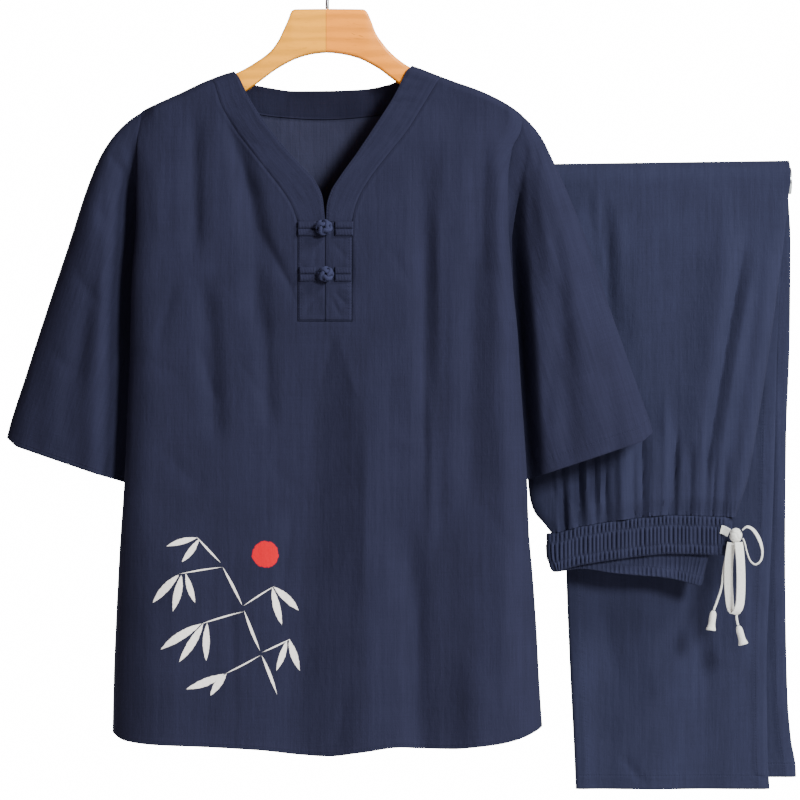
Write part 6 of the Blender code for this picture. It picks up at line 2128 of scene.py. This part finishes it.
def hook(look):
    """A circle of wire spun round from the hook's free end, then led down to the stem in the wood."""
    radius = HOOK_RADIUS + WIRE_RADIUS
    centre = Vector((0, 0, -HOOK_RADIUS))
    first, last = (math.radians(a) for a in HOOK_ENDS)
    place = centre + Vector((math.cos(first), 0, math.sin(first))) * radius
    wire = started(bpy.ops.mesh.primitive_circle_add, vertices=WIRE_SIDES, radius=WIRE_RADIUS * MM,
                   location=place * MM, rotation=(0, math.pi - first, 0))
    bpy.ops.mesh.spin(steps=HOOK_STEPS, angle=last - first, center=centre * MM, axis=(0, 1, 0))
    ahead = Vector((math.sin(last), 0, -math.cos(last)))
    foot = centre + Vector((math.cos(last), 0, math.sin(last))) * radius
    straight = (foot.x - HOOK_BEND * (1 + ahead.z)) / -ahead.x
    drawn_out(*(ahead * straight * MM))
    foot = foot + ahead * straight
    middle = foot + Vector((-ahead.z, 0, ahead.x)) * HOOK_BEND
    turn = math.atan2(-ahead.x, -ahead.z)
    bpy.ops.mesh.spin(steps=12, angle=turn, center=middle * MM, axis=(0, 1, 0))
    stem = float(RIDGE(0)) - BAND_WALL - REST_GAP + SEAM_GAP
    drawn_out(0, 0, (stem - middle.z) * MM)
    bpy.ops.mesh.select_all(action="SELECT")
    bpy.ops.mesh.remove_doubles(threshold=1e-6)
    bpy.ops.mesh.select_all(action="DESELECT")
    bpy.ops.mesh.select_mode(type="EDGE")
    bpy.ops.mesh.select_non_manifold(extend=False)
    bpy.ops.mesh.fill()
    faced_out()
    wire.name = "hook_wire"
    eased(wire, WIRE_EASE)
    wire.data.materials.append(look)
    finish_piece(wire, "hanger_hook")


class SUIT_OT_hanger(Sewn, bpy.types.Operator):
    """Shapes the hanger's two arms of wood and bends its hook"""

    bl_idname = "suit.hanger"
    bl_label = "Hanger"

    def execute(self, context):
        colours = context.scene.suit_colours
        for hand, finish, stations_x in (
            ("left", "pale_wood", WOOD_STATIONS_LEFT), ("right", "amber_wood", WOOD_STATIONS_RIGHT),
        ):
            look = wood(f"wood_{hand}", getattr(colours, f"wood_{hand}"))
            hanger_arm(hand, stations_x, look)
        hook(metal("hook_steel", colours.steel, (0.0008, 0.0008, 0.02)))
        return {"FINISHED"}


class SUIT_OT_trousers(Sewn, bpy.types.Operator):
    """Folds the trousers' four layers over the bar"""

    bl_idname = "suit.trousers"
    bl_label = "Trousers"

    def execute(self, context):
        sizes, colours = context.scene.suit_sizes, context.scene.suit_colours
        colour = colours.trousers
        hem = (("hem", LEG_STITCH, 0),)
        seams = (("left", 1.5, 1), ("left", FELL, 1), ("right", FELL, 1))
        look = linen("trousers_leg", colour, sizes, (*hem, *seams))
        plain = linen("trousers_front", colour, sizes, hem)
        # Painted shade: the trousers' inside is painted darker than their outside.
        inner = linen("trousers_inside", shade(colour, 0.85), sizes, hem)
        for layer in LAYERS:
            outer = plain if layer.pleated else look
            piece = cloth(f"{layer.node}_layer", [leg_block(layer)], sizes.wall, [outer, inner], offset=0.0)
            sewn(piece, "linen", layer.node, "leg", "folded", "trouser_bar")
        return {"FINISHED"}


class SUIT_OT_waistband(Sewn, bpy.types.Operator):
    """Gathers the elastic waistband, folded in half with the trousers"""

    bl_idname = "suit.waistband"
    bl_label = "Waistband"

    def execute(self, context):
        sizes, colours = context.scene.suit_sizes, context.scene.suit_colours
        path = band_path()
        x, y, inner, phase, deep = path.T
        ahead = np.roll(path[:, :2], -1, axis=0) - np.roll(path[:, :2], 1, axis=0)
        ahead /= np.linalg.norm(ahead, axis=1, keepdims=True)
        long = lengths_along(np.concatenate((path[:, :2], path[:1, :2])))
        rows = []
        coords = []
        downs = []
        for out, drop, puff in band_section():
            zone = sum(drop > line for line in BAND_STITCHES)
            rise = BAND_RISE * deep * puff * gather_rise(phase, zone)
            away = out + rise if out > 0 else out + (rise - BAND_RISE * deep * puff) * GATHER_INSIDE
            z = WAIST_TOP(x) - INNER_DROP(x) * inner - drop
            share = drop / BAND_HEIGHT
            lean = INNER_LEAN * inner * smooth((x - LEAN_START) / LEAN_SPAN) * share
            lean = lean - BAND_CORNER * share ** 4 * (1 - smooth((x - x.min()) / CORNER_SPAN))
            rows.append(placed(x - lean + ahead[:, 1] * away, y - ahead[:, 0] * away, z))
            coords.append(np.stack((long[:-1], np.full_like(x, -drop)), axis=-1))
            downs.append(np.full_like(x, drop))
        rings, coords, downs = (np.array(values).swapaxes(0, 1) for values in (rows, coords, downs))
        lines = tuple(("hem", line, 0) for line in BAND_STITCHES)
        look = linen("waistband", colours.trousers, sizes, lines)
        piece = tube("waistband_gathered", rings, coords, look, True, (long[-1], FAR), hem=downs)
        sewn(piece, "linen_band", "waistband", "waistband", "gathered", "leg_far_front_layer")
        return {"FINISHED"}


class SUIT_OT_bar(Sewn, bpy.types.Operator):
    """Turns the steel bar that the trousers hang over"""

    bl_idname = "suit.bar"
    bl_label = "Bar"

    def execute(self, context):
        start, end = ROD_ENDS
        middle = (start + end) / 2
        bar = started(
            bpy.ops.mesh.primitive_cylinder_add, vertices=72,
            radius=ROD_RADIUS * MM, depth=(end - start) * MM,
            location=Vector((middle, ROD_Y, rod_z(middle))) * MM,
            rotation=(0, math.pi / 2 - math.atan(ROD_SLOPE), 0))
        bpy.ops.mesh.select_mode(type="FACE")
        bpy.ops.mesh.select_all(action="DESELECT")
        shape = bmesh.from_edit_mesh(bar.data)
        for face in shape.faces:
            face.select_set(abs(face.normal.x) > 0.9)
        bmesh.update_edit_mesh(bar.data)
        bpy.ops.mesh.inset(thickness=BAR_RIM * MM, use_individual=True)
        bpy.ops.mesh.extrude_faces_move(TRANSFORM_OT_shrink_fatten={"value": -BAR_DISH * MM})
        faced_out()
        bar.name = "trouser_bar"
        eased(bar, BAR_EASE)
        steel = context.scene.suit_colours.steel
        bar.data.materials.append(metal("bar_steel", steel, (0.03, 0.0007, 0.0007)))
        finish_piece(bar, "trouser_rod")
        return {"FINISHED"}


ORDER = (
    SUIT_OT_stage, SUIT_OT_drawstring, SUIT_OT_hanger, SUIT_OT_top, SUIT_OT_neck, SUIT_OT_sleeves,
    SUIT_OT_frogs, SUIT_OT_bar, SUIT_OT_trousers, SUIT_OT_waistband,
)


class SUIT_PT_panel(bpy.types.Panel):
    """Lists the suit's sizes, colours and pieces in the sidebar"""

    bl_idname = "SUIT_PT_panel"
    bl_label = "Linen Suit"
    bl_space_type = "VIEW_3D"
    bl_region_type = "UI"
    bl_category = "Linen Suit"

    def draw(self, context):
        for name, group in GROUPS.items():
            box = self.layout.box()
            box.label(text=name.replace("_", " ").capitalize())
            for key in group.__annotations__:
                box.prop(getattr(context.scene, name), key)
        for operator in ORDER:
            self.layout.operator(operator.bl_idname)


GROUPS = {"suit_sizes": SuitSizes, "suit_colours": SuitColours, "suit_studio": SuitStudio}


def register():
    for cls in (*GROUPS.values(), *ORDER, SUIT_PT_panel):
        bpy.utils.register_class(cls)
    for name, group in GROUPS.items():
        setattr(bpy.types.Scene, name, PointerProperty(type=group))


def unregister():
    for name in GROUPS:
        delattr(bpy.types.Scene, name)
    for cls in reversed((*GROUPS.values(), *ORDER, SUIT_PT_panel)):
        bpy.utils.unregister_class(cls)


def main():
    register()
    for operator in ORDER:
        module, name = operator.bl_idname.split(".")
        getattr(getattr(bpy.ops, module), name)()


if __name__ == "__main__":
    main()
